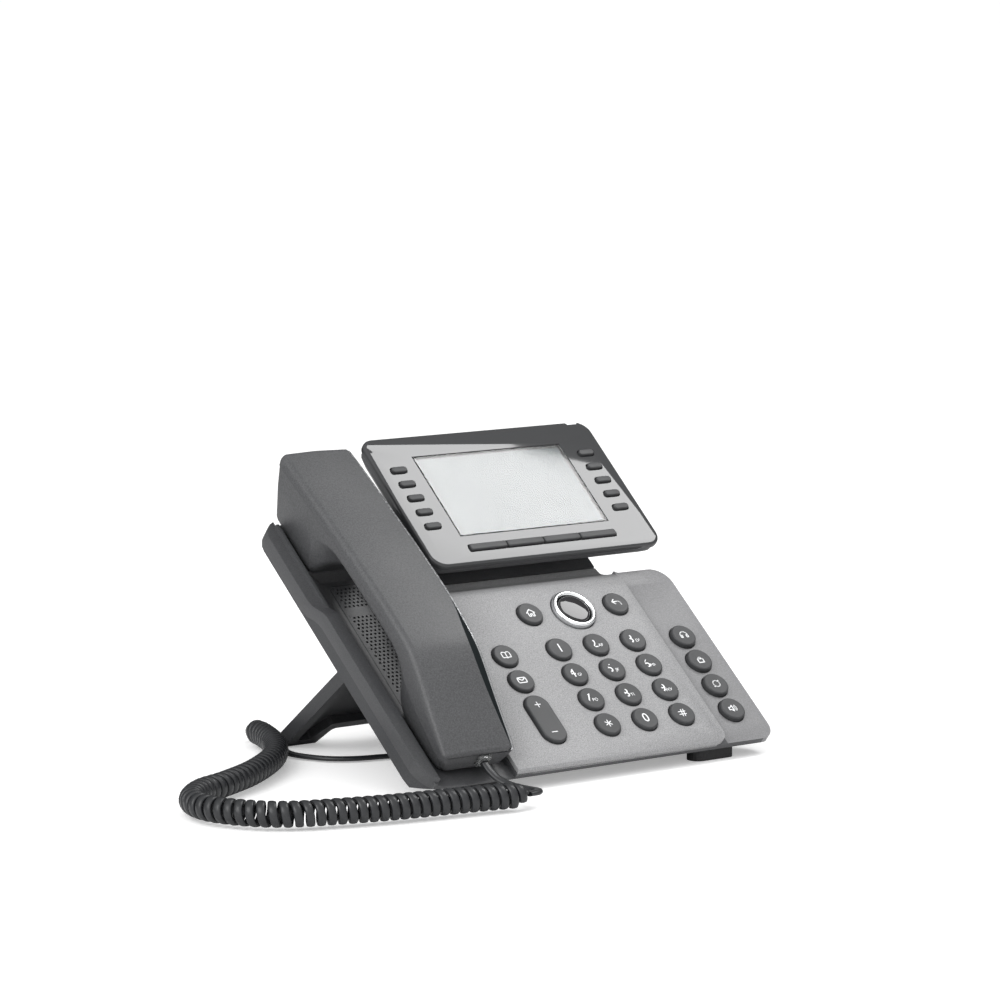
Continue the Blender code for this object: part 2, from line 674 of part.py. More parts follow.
def display_fascia(parent, material):
    body = add_object("display_fascia", prism(display_outline(), -FASCIA_THICK, 0.0), parent, material)
    soften(body, 0.8, 2)
    half_width, half_height = WINDOW_SIZE[0] / 2, WINDOW_SIZE[1] / 2
    x, y = half_width + GAP, half_height + GAP
    holes = bmesh.new()
    add_prism(holes, box_outline(-x, x, -y, y), -1.5, 3)
    cut(body, holes, "window_ledge")
    holes = bmesh.new()
    x, y = half_width - 1.2, half_height - 1.2
    add_prism(holes, box_outline(-x, x, -y, y), -6, 3)
    for _, x, b in line_keys():
        add_prism(holes, pill(x, b, LINE_KEY_SIZE[0] + 0.7, LINE_KEY_SIZE[1] + 0.7), -6, 3)
    reach = 2 * SOFT_KEY_PITCH
    add_prism(holes, box_outline(-reach, reach, SOFT_KEY_B - 2.35, SOFT_KEY_B + 2.35, 1.6), -6, 3)
    cut(body, holes, "holes")
    return body


def display_rear_cover(parent, material):
    outline = display_outline(1.0)
    back = display_outline(8.0, 6.0)
    rings = [
        [(x, y, COVER_BACK) for x, y in back],
        [(x, y, COVER_BACK + 1.8) for x, y in display_outline(3.6, 7.0)],
        [(x, y, -6.6) for x, y in outline],
        [(x, y, -FASCIA_THICK - GAP) for x, y in outline],
    ]
    body = add_object("display_rear_cover", loft(rings), parent, material)
    cavity = loft(
        [
            [(x, y, COVER_BACK + 2.2) for x, y in display_outline(9.0, 6.0)],
            [(x, y, -6.8) for x, y in display_outline(3.2, 7.0)],
            [(x, y, 2.0) for x, y in display_outline(3.2, 7.0)],
        ]
    )
    cut(body, cavity, "cavity")
    # Knuckles that turn on the hinge shaft.
    tilt = math.radians(-DISPLAY_EXTRA_TILT)
    ds, dn = HINGE_S - DISPLAY_CENTRE[1], HINGE_N - DISPLAY_CENTRE[2]
    b = ds * math.cos(tilt) - dn * math.sin(tilt)
    w = ds * math.sin(tilt) + dn * math.cos(tilt)
    for index, x in enumerate((-52.0, 14.0)):
        knuckle = bmesh.new()
        turns = [math.radians(angle) for angle in range(180, 361, 20)]
        profile = [(b + 3.7 * math.cos(turn), w + 3.7 * math.sin(turn)) for turn in turns]
        profile += [(b + 8, COVER_BACK + 0.6), (b - 3.7, COVER_BACK + 0.6)]
        add_side_prism(knuckle, profile, x, x + 9)
        join(body, knuckle, f"knuckle_{index}")
    bore = bmesh.new()
    add_rod(bore, -54, 25, b, w, SHAFT_RADIUS + GAP)
    cut(body, bore, "hinge_bore")
    return body


def display_inside(parent, glass, panel):
    width, height = WINDOW_SIZE
    window = prism(box_outline(-width / 2, width / 2, -height / 2, height / 2), -1.2, 0.0)
    add_object("display_window", window, parent, glass)
    width, height, thick = LCD_SIZE
    lcd = prism(box_outline(-width / 2, width / 2, -height / 2, height / 2), -3.4 - thick, -3.4)
    add_object("lcd_panel", lcd, parent, panel)


def soft_key_outline(x, b, wider, taller):
    half_width, half_height = SOFT_KEY_SIZE[0] / 2 + wider, SOFT_KEY_SIZE[1] / 2 + taller
    return box_outline(x - half_width, x + half_width, b - half_height, b + half_height, 0.9, 2)


def display_keys(parent, material):
    width, height = LINE_KEY_SIZE
    for name, x, b in line_keys():
        layers = [
            (pill(x, b, width + 1.6, height + 1.6), -4.3),
            (pill(x, b, width + 1.6, height + 1.6), -3.4),
            (pill(x, b, width, height), -3.4),
            (pill(x, b, width, height), 1.0),
            (pill(x, b, width - 0.9, height - 0.9), 1.4),
        ]
        add_object(name, stepped(layers), parent, material, (x, b, 1.4))
    for name, x, b in soft_keys():
        layers = [
            (soft_key_outline(x, b, 0.0, 0.9), -4.3),
            (soft_key_outline(x, b, 0.0, 0.9), -3.4),
            (soft_key_outline(x, b, 0.0, 0.0), -3.4),
            (soft_key_outline(x, b, 0.0, 0.0), 1.0),
            (soft_key_outline(x, b, -0.4, -0.4), 1.4),
        ]
        add_object(name, stepped(layers), parent, material, (x, b, 1.4))


def hinge_shaft(parent, material):
    bm = bmesh.new()
    add_rod(bm, -59.5, 30.5, HINGE_S, HINGE_N, SHAFT_RADIUS)
    return add_object("display_hinge_shaft", bm, parent, material, (-14.5, HINGE_S, HINGE_N))


def smooth_route(points, spacing):
    """Points a fixed distance apart on a smooth curve through the given ones."""
    dense = []
    knots = [Vector(p) for p in points]
    knots = [2 * knots[0] - knots[1]] + knots + [2 * knots[-1] - knots[-2]]
    for a, b, c, d in zip(knots, knots[1:], knots[2:], knots[3:]):
        for step in range(24):
            t = step / 24
            straight = 2 * b + (c - a) * t
            bend = (2 * a - 5 * b + 4 * c - d) * t * t + (3 * b - a - 3 * c + d) * t**3
            dense.append((straight + bend) / 2)
    dense.append(knots[-2])
    length = sum((q - p).length for p, q in zip(dense, dense[1:]))
    count = max(2, round(length / spacing))
    wanted = [length * i / count for i in range(count + 1)]
    route, run, index = [], 0.0, 0
    for target in wanted[:-1]:
        while run + (dense[index + 1] - dense[index]).length < target:
            run += (dense[index + 1] - dense[index]).length
            index += 1
        step = (dense[index + 1] - dense[index]).length
        route.append(dense[index].lerp(dense[index + 1], (target - run) / step))
    route.append(dense[-1])
    return route


# Routes in millimetres from the middle of the base's footprint, on the desk.
COIL_ROUTE = (
    (-80, -125, 8), (-98, -121, 8), (-124, -116, 8), (-150, -111, 8), (-175, -104, 8), (-200, -94.5, 8),
    (-215, -79.5, 8), (-223, -59.5, 8), (-219.5, -39.5, 8), (-204, -23.5, 8), (-184, -14.5, 8), (-156, 2, 8),
    (-126, 28, 8), (-107, 55, 8), (-96.2, 80.5, 8), (-92, 98.5, 8),
)
HANDSET_LEAD_ROUTE = (
    (-77.55, -87.2, 17.1), (-77.2, -91.4, 13.7), (-75.8, -97, 10.2), (-73, -104, 8), (-70.2, -111.5, 7.4),
    (-69.2, -118.5, 7.6), (-72.6, -123.6, 7.9), (-79.2, -125.1, 8),
)
BASE_LEAD_ROUTE = (
    (-91.85, 99.3, 8), (-90.2, 103.6, 6), (-86.4, 106.8, 3), (-82.4, 104.3, 1.9), (-82.3, 97.5, 1.9),
    (-85.4, 90, 1.9), (-87.2, 82.5, 1.9), (-90.6, 72, 1.9), (-95.6, 59.5, 1.9), (-94.6, 48, 1.9),
    (-88, 34.5, 1.9), (-77, 26, 1.9),
    (-62, 21.5, 1.9), (-46, 17, 1.9), (-33, 9, 2.6), (-26.4, 0, 8), (-24.8, -4.5, 16), (-24.75, -9.2, 27.2),
)


def cord(name, route, radius, spacing, resolution, material):
    curve = bpy.data.curves.new(name, "CURVE")
    curve.dimensions = "3D"
    curve.bevel_depth = radius * MM
    curve.bevel_resolution = resolution
    curve.use_fill_caps = True
    points = smooth_route(route, spacing)
    spline = curve.splines.new("POLY")
    spline.points.add(len(points) - 1)
    for point, place in zip(spline.points, points):
        point.co = (*(place * MM), 1.0)
    curve.materials.append(material)
    obj = bpy.data.objects.new(name, curve)
    bpy.context.scene.collection.objects.link(obj)
    return obj


def main():
    clear_scene()
    charcoal = make_material("charcoal_plastic", CHARCOAL, 0.5)
    silver = make_material("silver_plastic", SILVER, 0.45)
    grey = make_material("strip_plastic", GREY, 0.45)
    gloss_grey = make_material("gloss_grey", GREY, 0.12)
    key_plastic = make_material("key_plastic", KEY_GREY, 0.5)
    chrome = make_material("chrome", (0.8, 0.8, 0.82), 0.08, 1.0)
    gloss_black = make_material("gloss_black", (0.01, 0.01, 0.011), 0.05)
    glass = make_material("glass", (0.8, 0.85, 0.86), 0.05, 0.0, 0.35)
    lcd = make_material("lcd", (0.75, 0.8, 0.8), 0.3)
    green = make_material("circuit_board", (0.02, 0.16, 0.06), 0.5)
    steel = make_material("steel", (0.55, 0.55, 0.57), 0.3, 1.0)
    rubber = make_material("rubber", (0.02, 0.02, 0.02), 0.8)
    clear = make_material("clear_plug", (0.7, 0.72, 0.72), 0.1, 0.0, 0.5)
    cord_grey = make_material("cord", (0.03, 0.031, 0.034), 0.4)

    root = make_empty("deck_origin", DECK_ORIGIN, 0.0)
    deck = make_empty("deck", (0, 0, 0), DECK_TILT, root)
    display = make_empty("display", DISPLAY_CENTRE, DISPLAY_EXTRA_TILT, deck)

    front_housing(deck, charcoal)
    rear_housing(deck, charcoal)
    keypad_plate(deck, silver)
    grille(deck, charcoal)
    loudspeaker(deck, steel)
    main_board(deck, green)
    hook_switch(deck, charcoal)
    for name, x, s in plate_keys():
        round_key(name, x, s, 0.0, PLATE_TOP - PLATE_THICK, deck, key_plastic)
    for name, x, s in strip_keys():
        round_key(name, x, s, STRIP_KEY_TOP, STRIP_TOP - WALL, deck, key_plastic)
    volume_rocker(deck, key_plastic)
    navigation(deck, chrome, gloss_black, grey)
    handset_shell("handset_back_shell", 1, 0.0, deck, charcoal)
    handset_shell("handset_face_shell", -1, -GAP, deck, charcoal)
    handset_plug(deck, clear)
    base_plug(deck, clear)
    rear_stand(deck, root, charcoal)
    front_foot("front_foot_left", -110.0, rubber, root)
    front_foot("front_foot_right", 42.0, rubber, root)
    display_fascia(display, gloss_grey)
    display_rear_cover(display, charcoal)
    display_inside(display, glass, lcd)
    display_keys(display, key_plastic)
    hinge_shaft(deck, steel)
    cord("cord_coil", COIL_ROUTE, COIL_RADIUS, 10.0, 3, cord_grey)
    cord("cord_lead_handset", HANDSET_LEAD_ROUTE, LEAD_RADIUS, 5.0, 2, cord_grey)
    cord("cord_lead_base", BASE_LEAD_ROUTE, LEAD_RADIUS, 6.0, 2, cord_grey)


main()
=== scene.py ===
"""The desk phone's looks: every visible surface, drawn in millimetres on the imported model's own axes."""

import math

import bmesh
import bpy
from mathutils import Matrix, Vector


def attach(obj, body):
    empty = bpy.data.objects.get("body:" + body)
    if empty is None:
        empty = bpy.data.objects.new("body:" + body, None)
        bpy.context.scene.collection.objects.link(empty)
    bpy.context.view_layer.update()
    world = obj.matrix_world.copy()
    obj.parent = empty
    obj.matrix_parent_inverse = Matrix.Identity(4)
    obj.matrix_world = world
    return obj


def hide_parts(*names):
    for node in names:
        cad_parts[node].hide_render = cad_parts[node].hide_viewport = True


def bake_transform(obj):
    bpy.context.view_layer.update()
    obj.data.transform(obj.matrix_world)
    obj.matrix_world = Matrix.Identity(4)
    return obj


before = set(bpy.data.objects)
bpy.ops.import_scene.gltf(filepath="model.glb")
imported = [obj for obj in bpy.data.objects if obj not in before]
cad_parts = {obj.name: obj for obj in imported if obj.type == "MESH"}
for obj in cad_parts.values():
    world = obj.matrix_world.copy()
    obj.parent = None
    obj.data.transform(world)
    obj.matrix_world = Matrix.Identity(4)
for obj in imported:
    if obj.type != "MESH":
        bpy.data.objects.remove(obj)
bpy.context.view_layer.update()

MM = 0.001
GAP = 0.3

# The deck's axes: x to the right, s up the slope (y here) and n out of the deck (z here).
DECK_ORIGIN = Vector((35.25, -48.0, 48.0))
DECK_TILT = math.radians(39.5)
DISPLAY_CENTRE = Vector((0.0, 121.3, 9.0))
DISPLAY_EXTRA_TILT = math.radians(1.3)
WORLD = Matrix.Scale(MM, 4)
DECK = WORLD @ Matrix.Translation(DECK_ORIGIN) @ Matrix.Rotation(DECK_TILT, 4, "X")
DISPLAY = DECK @ Matrix.Translation(DISPLAY_CENTRE) @ Matrix.Rotation(DISPLAY_EXTRA_TILT, 4, "X")

# Base.
BASE_LEFT, BASE_RIGHT = -148.0, 77.5
BASE_FRONT, STRIP_END, NECK_END, CRADLE_END = -55.3, 67.0, 104.0, 131.0
PLATE_LEFT, PLATE_RIGHT, PLATE_TOP, PLATE_THICK = -93.0, 44.0, -2.0, 2.4
PLATE_STEP, CRADLE_RIGHT, NECK_LEFT = 62.3, -77.3, -76.0
STRIP_TOP = -4.8
BAY_LEFT, BAY_SLOPE, BAY_RIGHT = -140.0, -124.0, -93.3
GRILLE_LEFT, GRILLE_RIGHT, GRILLE_FRONT, GRILLE_BACK, GRILLE_TOP = -121.0, -96.0, -3.0, 92.0, -20.0

# Keys.
KEY_RADIUS, KEY_HOLE_RADIUS = 7.1, 7.45
COLUMN, ROW, SIDE_COLUMN = 24.5, 17.46, 59.5
STRIP_KEY_TOP = -2.2
VOLUME = (-SIDE_COLUMN, -1.5 * ROW, 2 * KEY_RADIUS, 31.6)
NAV_CENTRE = (0.0, 42.5)
NAV_RADIUS, NAV_BORE_RADIUS, OK_RADIUS = 12.4, 9.55, 9.2

# Display.
DISPLAY_HALF_WIDTH, DISPLAY_TOP, DISPLAY_BOTTOM = 75.7, 43.4, -47.5
FASCIA_THICK = 3.0
WINDOW_SIZE = (97.6, 56.4)
LIT_SIZE = (95.04, 53.86)
LINE_KEY_X, LINE_KEY_PITCH, LINE_KEY_SIZE = 62.4, 10.0, (9.8, 3.8)
SOFT_KEY_B, SOFT_KEY_PITCH, SOFT_KEY_SIZE = -37.2, 24.3, (23.7, 4.0)


# ---------------------------------------------------------------- materials

def new_material(name, colour, roughness, metallic=0.0, coat=0.0, coat_roughness=0.03):
    material = bpy.data.materials.new(name)
    material.use_nodes = True
    shader = material.node_tree.nodes["Principled BSDF"]
    shader.inputs["Base Color"].default_value = (*colour, 1.0)
    shader.inputs["Roughness"].default_value = roughness
    shader.inputs["Metallic"].default_value = metallic
    shader.inputs["Coat Weight"].default_value = coat
    shader.inputs["Coat Roughness"].default_value = coat_roughness
    return material, material.node_tree, shader


def noise(tree, scale, detail=2.0, roughness=0.5):
    place = tree.nodes.new("ShaderNodeTexCoord")
    texture = tree.nodes.new("ShaderNodeTexNoise")
    texture.inputs["Scale"].default_value = scale
    texture.inputs["Detail"].default_value = detail
    texture.inputs["Roughness"].default_value = roughness
    tree.links.new(place.outputs["Object"], texture.inputs["Vector"])
    return texture.outputs["Fac"]


def remap(tree, value, low, high, out_low, out_high):
    node = tree.nodes.new("ShaderNodeMapRange")
    for name, number in zip(("From Min", "From Max", "To Min", "To Max"), (low, high, out_low, out_high)):
        node.inputs[name].default_value = number
    tree.links.new(value, node.inputs["Value"])
    return node.outputs["Result"]


def blend_colours(tree, factor, first, second):
    node = tree.nodes.new("ShaderNodeMix")
    node.data_type = "RGBA"
    tree.links.new(factor, node.inputs["Factor"])
    for socket in node.inputs:
        if socket.type == "RGBA":
            socket.default_value = (*(first if socket.name == "A" else second), 1.0)
    return next(socket for socket in node.outputs if socket.type == "RGBA")


def bump(tree, shader, height, strength, distance):
    node = tree.nodes.new("ShaderNodeBump")
    node.inputs["Strength"].default_value = strength
    node.inputs["Distance"].default_value = distance
    tree.links.new(height, node.inputs["Height"])
    tree.links.new(node.outputs["Normal"], shader.inputs["Normal"])


def moulded(name, colour, roughness, grain=1500.0, strength=0.25, spread=0.18, metallic=0.0):
    """Moulded plastic with a spark-eroded grain, a faint mottling and slightly uneven gloss."""
    material, tree, shader = new_material(name, colour, roughness, metallic)
    fine = noise(tree, grain, 3.0, 0.6)
    broad = noise(tree, 18.0, 3.0)
    dark = tuple(c * (1 - spread) for c in colour)
    light = tuple(c * (1 + spread) for c in colour)
    mottle = blend_colours(tree, remap(tree, fine, 0.35, 0.65, 0.0, 1.0), dark, light)
    tree.links.new(mottle, shader.inputs["Base Color"])
    uneven = remap(tree, broad, 0.3, 0.7, roughness - 0.04, roughness + 0.05)
    tree.links.new(uneven, shader.inputs["Roughness"])
    bump(tree, shader, fine, strength, 0.00012)
    return material


def polished(name, colour, roughness, coat=1.0):
    """Polished plastic: a coat over a body with faint flow marks."""
    material, tree, shader = new_material(name, colour, roughness, 0.0, coat, 0.02)
    shader.inputs["Specular IOR Level"].default_value = 0.0 if coat else 0.12
    waves = noise(tree, 30.0, 2.0)
    body = blend_colours(tree, waves, tuple(c * 0.93 for c in colour), tuple(c * 1.07 for c in colour))
    tree.links.new(body, shader.inputs["Base Color"])
    bump(tree, shader, waves, 0.02, 0.0002)
    return material


def metal(name, colour, roughness):
    """Bare metal, a little rougher where fine scratches cross it."""
    material, tree, shader = new_material(name, colour, roughness, 1.0)
    scratches = noise(tree, 400.0, 4.0, 0.7)
    uneven = remap(tree, scratches, 0.3, 0.7, roughness * 0.7, roughness * 1.4)
    tree.links.new(uneven, shader.inputs["Roughness"])
    return material


def clear(name, colour, roughness, transmission, ior):
    """Clear plastic or glass with a trace of haze."""
    material, tree, shader = new_material(name, colour, roughness)
    shader.inputs["Transmission Weight"].default_value = transmission
    shader.inputs["IOR"].default_value = ior
    haze = noise(tree, 60.0, 2.0)
    tree.links.new(remap(tree, haze, 0.3, 0.7, roughness, roughness + 0.03), shader.inputs["Roughness"])
    return material


def lit_panel(name):
    """The display's pale backlit face, slightly uneven."""
    material, tree, shader = new_material(name, (0.13, 0.145, 0.147), 0.25)
    glow = noise(tree, 9.0, 1.0)
    tint = blend_colours(tree, glow, (0.12, 0.135, 0.137), (0.15, 0.165, 0.168))
    tree.links.new(tint, shader.inputs["Base Color"])
    tree.links.new(tint, shader.inputs["Emission Color"])
    shader.inputs["Emission Strength"].default_value = 0.4
    shader.inputs["Specular IOR Level"].default_value = 0.0
    return material


def circuit(name):
    """A green board with paler tracks in sharp-edged patches."""
    material, tree, shader = new_material(name, (0.02, 0.16, 0.06), 0.4)
    tracks = remap(tree, noise(tree, 220.0, 1.0), 0.5, 0.53, 0.0, 1.0)
    copper = blend_colours(tree, tracks, (0.015, 0.12, 0.045), (0.03, 0.2, 0.08))
    tree.links.new(copper, shader.inputs["Base Color"])
    return material


HOUSING = moulded("housing_plastic", (0.052, 0.053, 0.056), 0.46)
HANDSET = moulded("handset_plastic", (0.056, 0.057, 0.06), 0.46, 1300.0, 0.35, 0.28)
REAR = moulded("rear_plastic", (0.036, 0.037, 0.04), 0.5, 1300.0, 0.35)
STRIP = moulded("strip_plastic", (0.19, 0.19, 0.195), 0.45)
PLATE = moulded("plate_paint", (0.27, 0.27, 0.275), 0.5, 2200.0, 0.15, 0.3)
KEYCAP = moulded("key_plastic", (0.036, 0.037, 0.039), 0.5, 3000.0, 0.08, 0.08)
GLOSS = polished("gloss_grey", (0.034, 0.035, 0.037), 0.3)
BLACK = polished("gloss_black", (0.006, 0.006, 0.007), 0.12)
FACET = polished("gloss_facet", (0.008, 0.011, 0.012), 0.35, 0.0)
SILVER = metal("silver_trim", (0.62, 0.63, 0.64), 0.25)
CHROME = metal("chrome", (0.78, 0.79, 0.8), 0.07)
STEEL = metal("steel", (0.5, 0.5, 0.52), 0.3)
GOLD = metal("gold_contacts", (0.85, 0.6, 0.22), 0.2)
INK = moulded("white_ink", (0.86, 0.87, 0.88), 0.5, 4000.0, 0.03, 0.03)
RUBBER = moulded("rubber", (0.018, 0.018, 0.019), 0.75, 900.0, 0.3)
JACKET = moulded("cord_jacket", (0.013, 0.014, 0.016), 0.38, 700.0, 0.1, 0.15)
CLEAR = clear("clear_plug", (0.93, 0.95, 0.95), 0.06, 0.9, 1.5)
WINDOW = clear("screen_glass", (1.0, 1.0, 1.0), 0.02, 1.0, 1.34)
LCD = lit_panel("lcd")
BOARD = circuit("circuit_board")
SPEAKER_CLOTH = moulded("speaker_mesh", (0.01, 0.01, 0.011), 0.8, 1200.0, 0.4)


# ---------------------------------------------------------------- outlines and meshes

def arc_outline(corners, steps=6):
    """Close an outline from (x, y, radius) corners, each rounded by an arc."""
    points = []
    count = len(corners)
    for index, (x, y, radius) in enumerate(corners):
        here = Vector((x, y))
        if radius <= 0:
            points.append((x, y))
            continue
        before = (Vector(corners[index - 1][:2]) - here).normalized()
        after = (Vector(corners[(index + 1) % count][:2]) - here).normalized()
        half = before.angle(after) / 2
        reach = radius / math.tan(half)
        centre = here + (before + after).normalized() * radius / math.sin(half)
        start = here + before * reach - centre
        turn = -1 if before.cross(after) > 0 else 1
        sweep = (math.pi - 2 * half) * turn
        for step in range(steps + 1):
            cosine, sine = math.cos(sweep * step / steps), math.sin(sweep * step / steps)
            across = start.x * cosine - start.y * sine
            along = start.x * sine + start.y * cosine
            points.append((centre.x + across, centre.y + along))
    return points


def box_outline(x0, x1, y0, y1, radius=0.0, steps=6):
    return arc_outline([(x0, y0, radius), (x1, y0, radius), (x1, y1, radius), (x0, y1, radius)], steps)


def circle(x, y, radius, steps=48):
    turn = 2 * math.pi / steps
    return [(x + radius * math.cos(turn * i), y + radius * math.sin(turn * i)) for i in range(steps)]


def pill(x, y, width, height, steps=8):
    half = min(width, height) / 2 - 0.001
    return box_outline(x - width / 2, x + width / 2, y - height / 2, y + height / 2, half, steps)


def add_band(bm, low, high):
    """Quads between two closed rings of vertices."""
    for i in range(len(low)):
        j = (i + 1) % len(low)
        bm.faces.new((low[i], low[j], high[j], high[i]))


def add_loft(bm, rings):
    """A skin through rings of points, closed by a face at each end."""
    made = [[bm.verts.new(point) for point in ring] for ring in rings]
    for low, high in zip(made, made[1:]):
        add_band(bm, low, high)
    bm.faces.new(made[0][::-1])
    bm.faces.new(made[-1])


def loft(rings):
    bm = bmesh.new()
    add_loft(bm, rings)
    return bm


def layers(outlines):
    """Rings of points from (outline, height) pairs."""
    return [[(x, y, height) for x, y in outline] for outline, height in outlines]


def prism(outline, low, high):
    return loft(layers([(outline, low), (outline, high)]))


def side_prism(profile, x0, x1):
    """Extrude an (s, n) profile along x."""
    return loft([[(x, s, n) for s, n in profile] for x in (x0, x1)])


def turned(x, y, profile, steps=48):
    """A turned solid from (radius, height) pairs."""
    return loft(layers([(circle(x, y, radius, steps), height) for radius, height in profile]))


def level(line, s):
    """The height of a line of (s, n) points at s."""
    for (s0, n0), (s1, n1) in zip(line, line[1:]):
        if s0 <= s <= s1:
            return n0 + (n1 - n0) * (s - s0) / (s1 - s0)
    return line[-1][1]


def banded_block(bands):
    """A block from (x, bottom line, top line) bands, whose lines change along x."""
    places = sorted({s for _, low, high in bands for s, _ in low + high})
    rings = []
    for x, low, high in bands:
        ring = [(x, s, level(low, s)) for s in places]
        rings.append(ring + [(x, s, level(high, s)) for s in reversed(places)])
    return loft(rings)


def lower(points, amount):
    return [(s, n - amount) for s, n in points]


def between(before, start, end, after, t):
    """A value on the Catmull-Rom curve from start (t = 0) to end (t = 1)."""
    slope = end - before
    bend = 2 * before - 5 * start + 4 * end - after
    twist = 3 * start - before - 3 * end + after
    return 0.5 * (2 * start + slope * t + bend * t * t + twist * t**3)


def smooth_line(knots, steps):
    """Points on a Catmull-Rom curve through tuples of any size."""
    padded = [knots[0]] + list(knots) + [knots[-1]]
    line = []
    for four in zip(padded, padded[1:], padded[2:], padded[3:]):
        for step in range(steps):
            line.append(tuple(between(*values, step / steps) for values in zip(*four)))
    line.append(tuple(knots[-1]))
    return line


# ---------------------------------------------------------------- pieces

def make(name, bm, materials, place=DECK, smooth_angle=35.0):
    """An object from a mesh drawn in millimetres on the given axes."""
    bmesh.ops.recalc_face_normals(bm, faces=bm.faces)
    bmesh.ops.transform(bm, matrix=place, verts=bm.verts)
    mesh = bpy.data.meshes.new(name)
    bm.to_mesh(mesh)
    bm.free()
    mesh.shade_smooth()
    mesh.set_sharp_from_angle(angle=math.radians(smooth_angle))
    obj = bpy.data.objects.new(name, mesh)
    bpy.context.scene.collection.objects.link(obj)
    for material in materials:
        mesh.materials.append(material)
    return obj


def piece(name, bm, materials, body, nodes=(), place=DECK, smooth_angle=35.0):
    """A finished piece that rides on a body and stands for the given CAD nodes."""
    return enter(make(name, bm, materials, place, smooth_angle), body, nodes)


def enter(obj, body, nodes=()):
    """Put an object on a body and the CAD nodes that it stands for."""
    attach(obj, body)
    if nodes:
        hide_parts(*nodes)
    return obj


def settle(obj):
    """Apply the object's modifiers."""
    bpy.context.view_layer.update()
    graph = bpy.context.evaluated_depsgraph_get()
    mesh = bpy.data.meshes.new_from_object(obj.evaluated_get(graph))
    obj.modifiers.clear()
    obj.data = mesh
    return obj


def carve(obj, bm, operation="DIFFERENCE", place=DECK):
    """Cut a shape out of the object, or join or intersect it with one."""
    other = make("tool", bm, [], place)
    modifier = obj.modifiers.new("carve", "BOOLEAN")
    modifier.operation = operation
    modifier.object = other
    settle(obj)
    bpy.data.objects.remove(other, do_unlink=True)
    return obj


def add_bevel(obj, width, segments, angle):
    modifier = obj.modifiers.new("edge", "BEVEL")
    modifier.width = width * MM
    modifier.segments = segments
    modifier.limit_method = "ANGLE"
    modifier.angle_limit = math.radians(angle)
    modifier.use_clamp_overlap = True


def soften(obj, width, segments, angle=35.0):
    """Round the object's sharp edges and apply the result."""
    add_bevel(obj, width, segments, angle)
    settle(obj)
    reshade(obj)


def reshade(obj, angle=35.0):
    obj.data.shade_smooth()
    obj.data.set_sharp_from_angle(angle=math.radians(angle))


# ---------------------------------------------------------------- base

# Lines of the base in side view, as (s, n) points that reach past its front and back.
WALL_TOP = [
    (-70, -2.7), (56, -2.7), (59, -2.9), (62, -3.6), (66, -5.6), (70, -7.6), (73, -8.4), (77, -8.7),
    (140, -8.7),
]
BELLY_SEAM = [(-70, -8.2), (-55.3, -8.2), (-52.4, -10.6)]
SEAM = BELLY_SEAM + [
    (57, -10.6), (61, -11.2), (65, -12.8), (70, -15.6), (74, -16.7), (79, -17.0), (140, -17.0),
]
NECK_SEAM = BELLY_SEAM + [(57, -10.6), (72, -19.8), (140, -19.8)]
PLATE_PROFILE = [
    (BASE_FRONT, PLATE_TOP), (57, PLATE_TOP), (60, -2.2), (63, -2.9), (67, -5.6), (71, -10.2), (75, -13.6),
    (80, -14.6),
]


def base_outline():
    """The base from above: the deck, a neck behind it under the display, and the cradle at the left."""
    neck_right = PLATE_RIGHT + 0.2
    return arc_outline(
        [
            (BASE_LEFT, BASE_FRONT, 17),
            (BASE_RIGHT, BASE_FRONT, 9),
            (BASE_RIGHT, STRIP_END, 11),
            (neck_right, STRIP_END, 3),
            (neck_right, NECK_END, 10),
            (NECK_LEFT, NECK_END, 6),
            (NECK_LEFT, CRADLE_END, 9),
            (BASE_LEFT, CRADLE_END, 12),
        ],
        8,
    )


def trough(front, shelf, floor, back, spread, top):
    """The bay: flat across at its ends, and sloping down from a shelf at the left in between."""
    (near, _), (far, _) = floor
    side = front + [(near, shelf), (far, shelf)] + back
    floor = front + floor + back
    rings = []
    for x, line in ((BAY_LEFT - spread, side), (BAY_SLOPE - spread, floor), (BAY_RIGHT + spread, floor)):
        rings.append([(x, s, n) for s, n in line] + [(x, line[-1][0], top), (x, line[0][0], top)])
    return loft(rings)


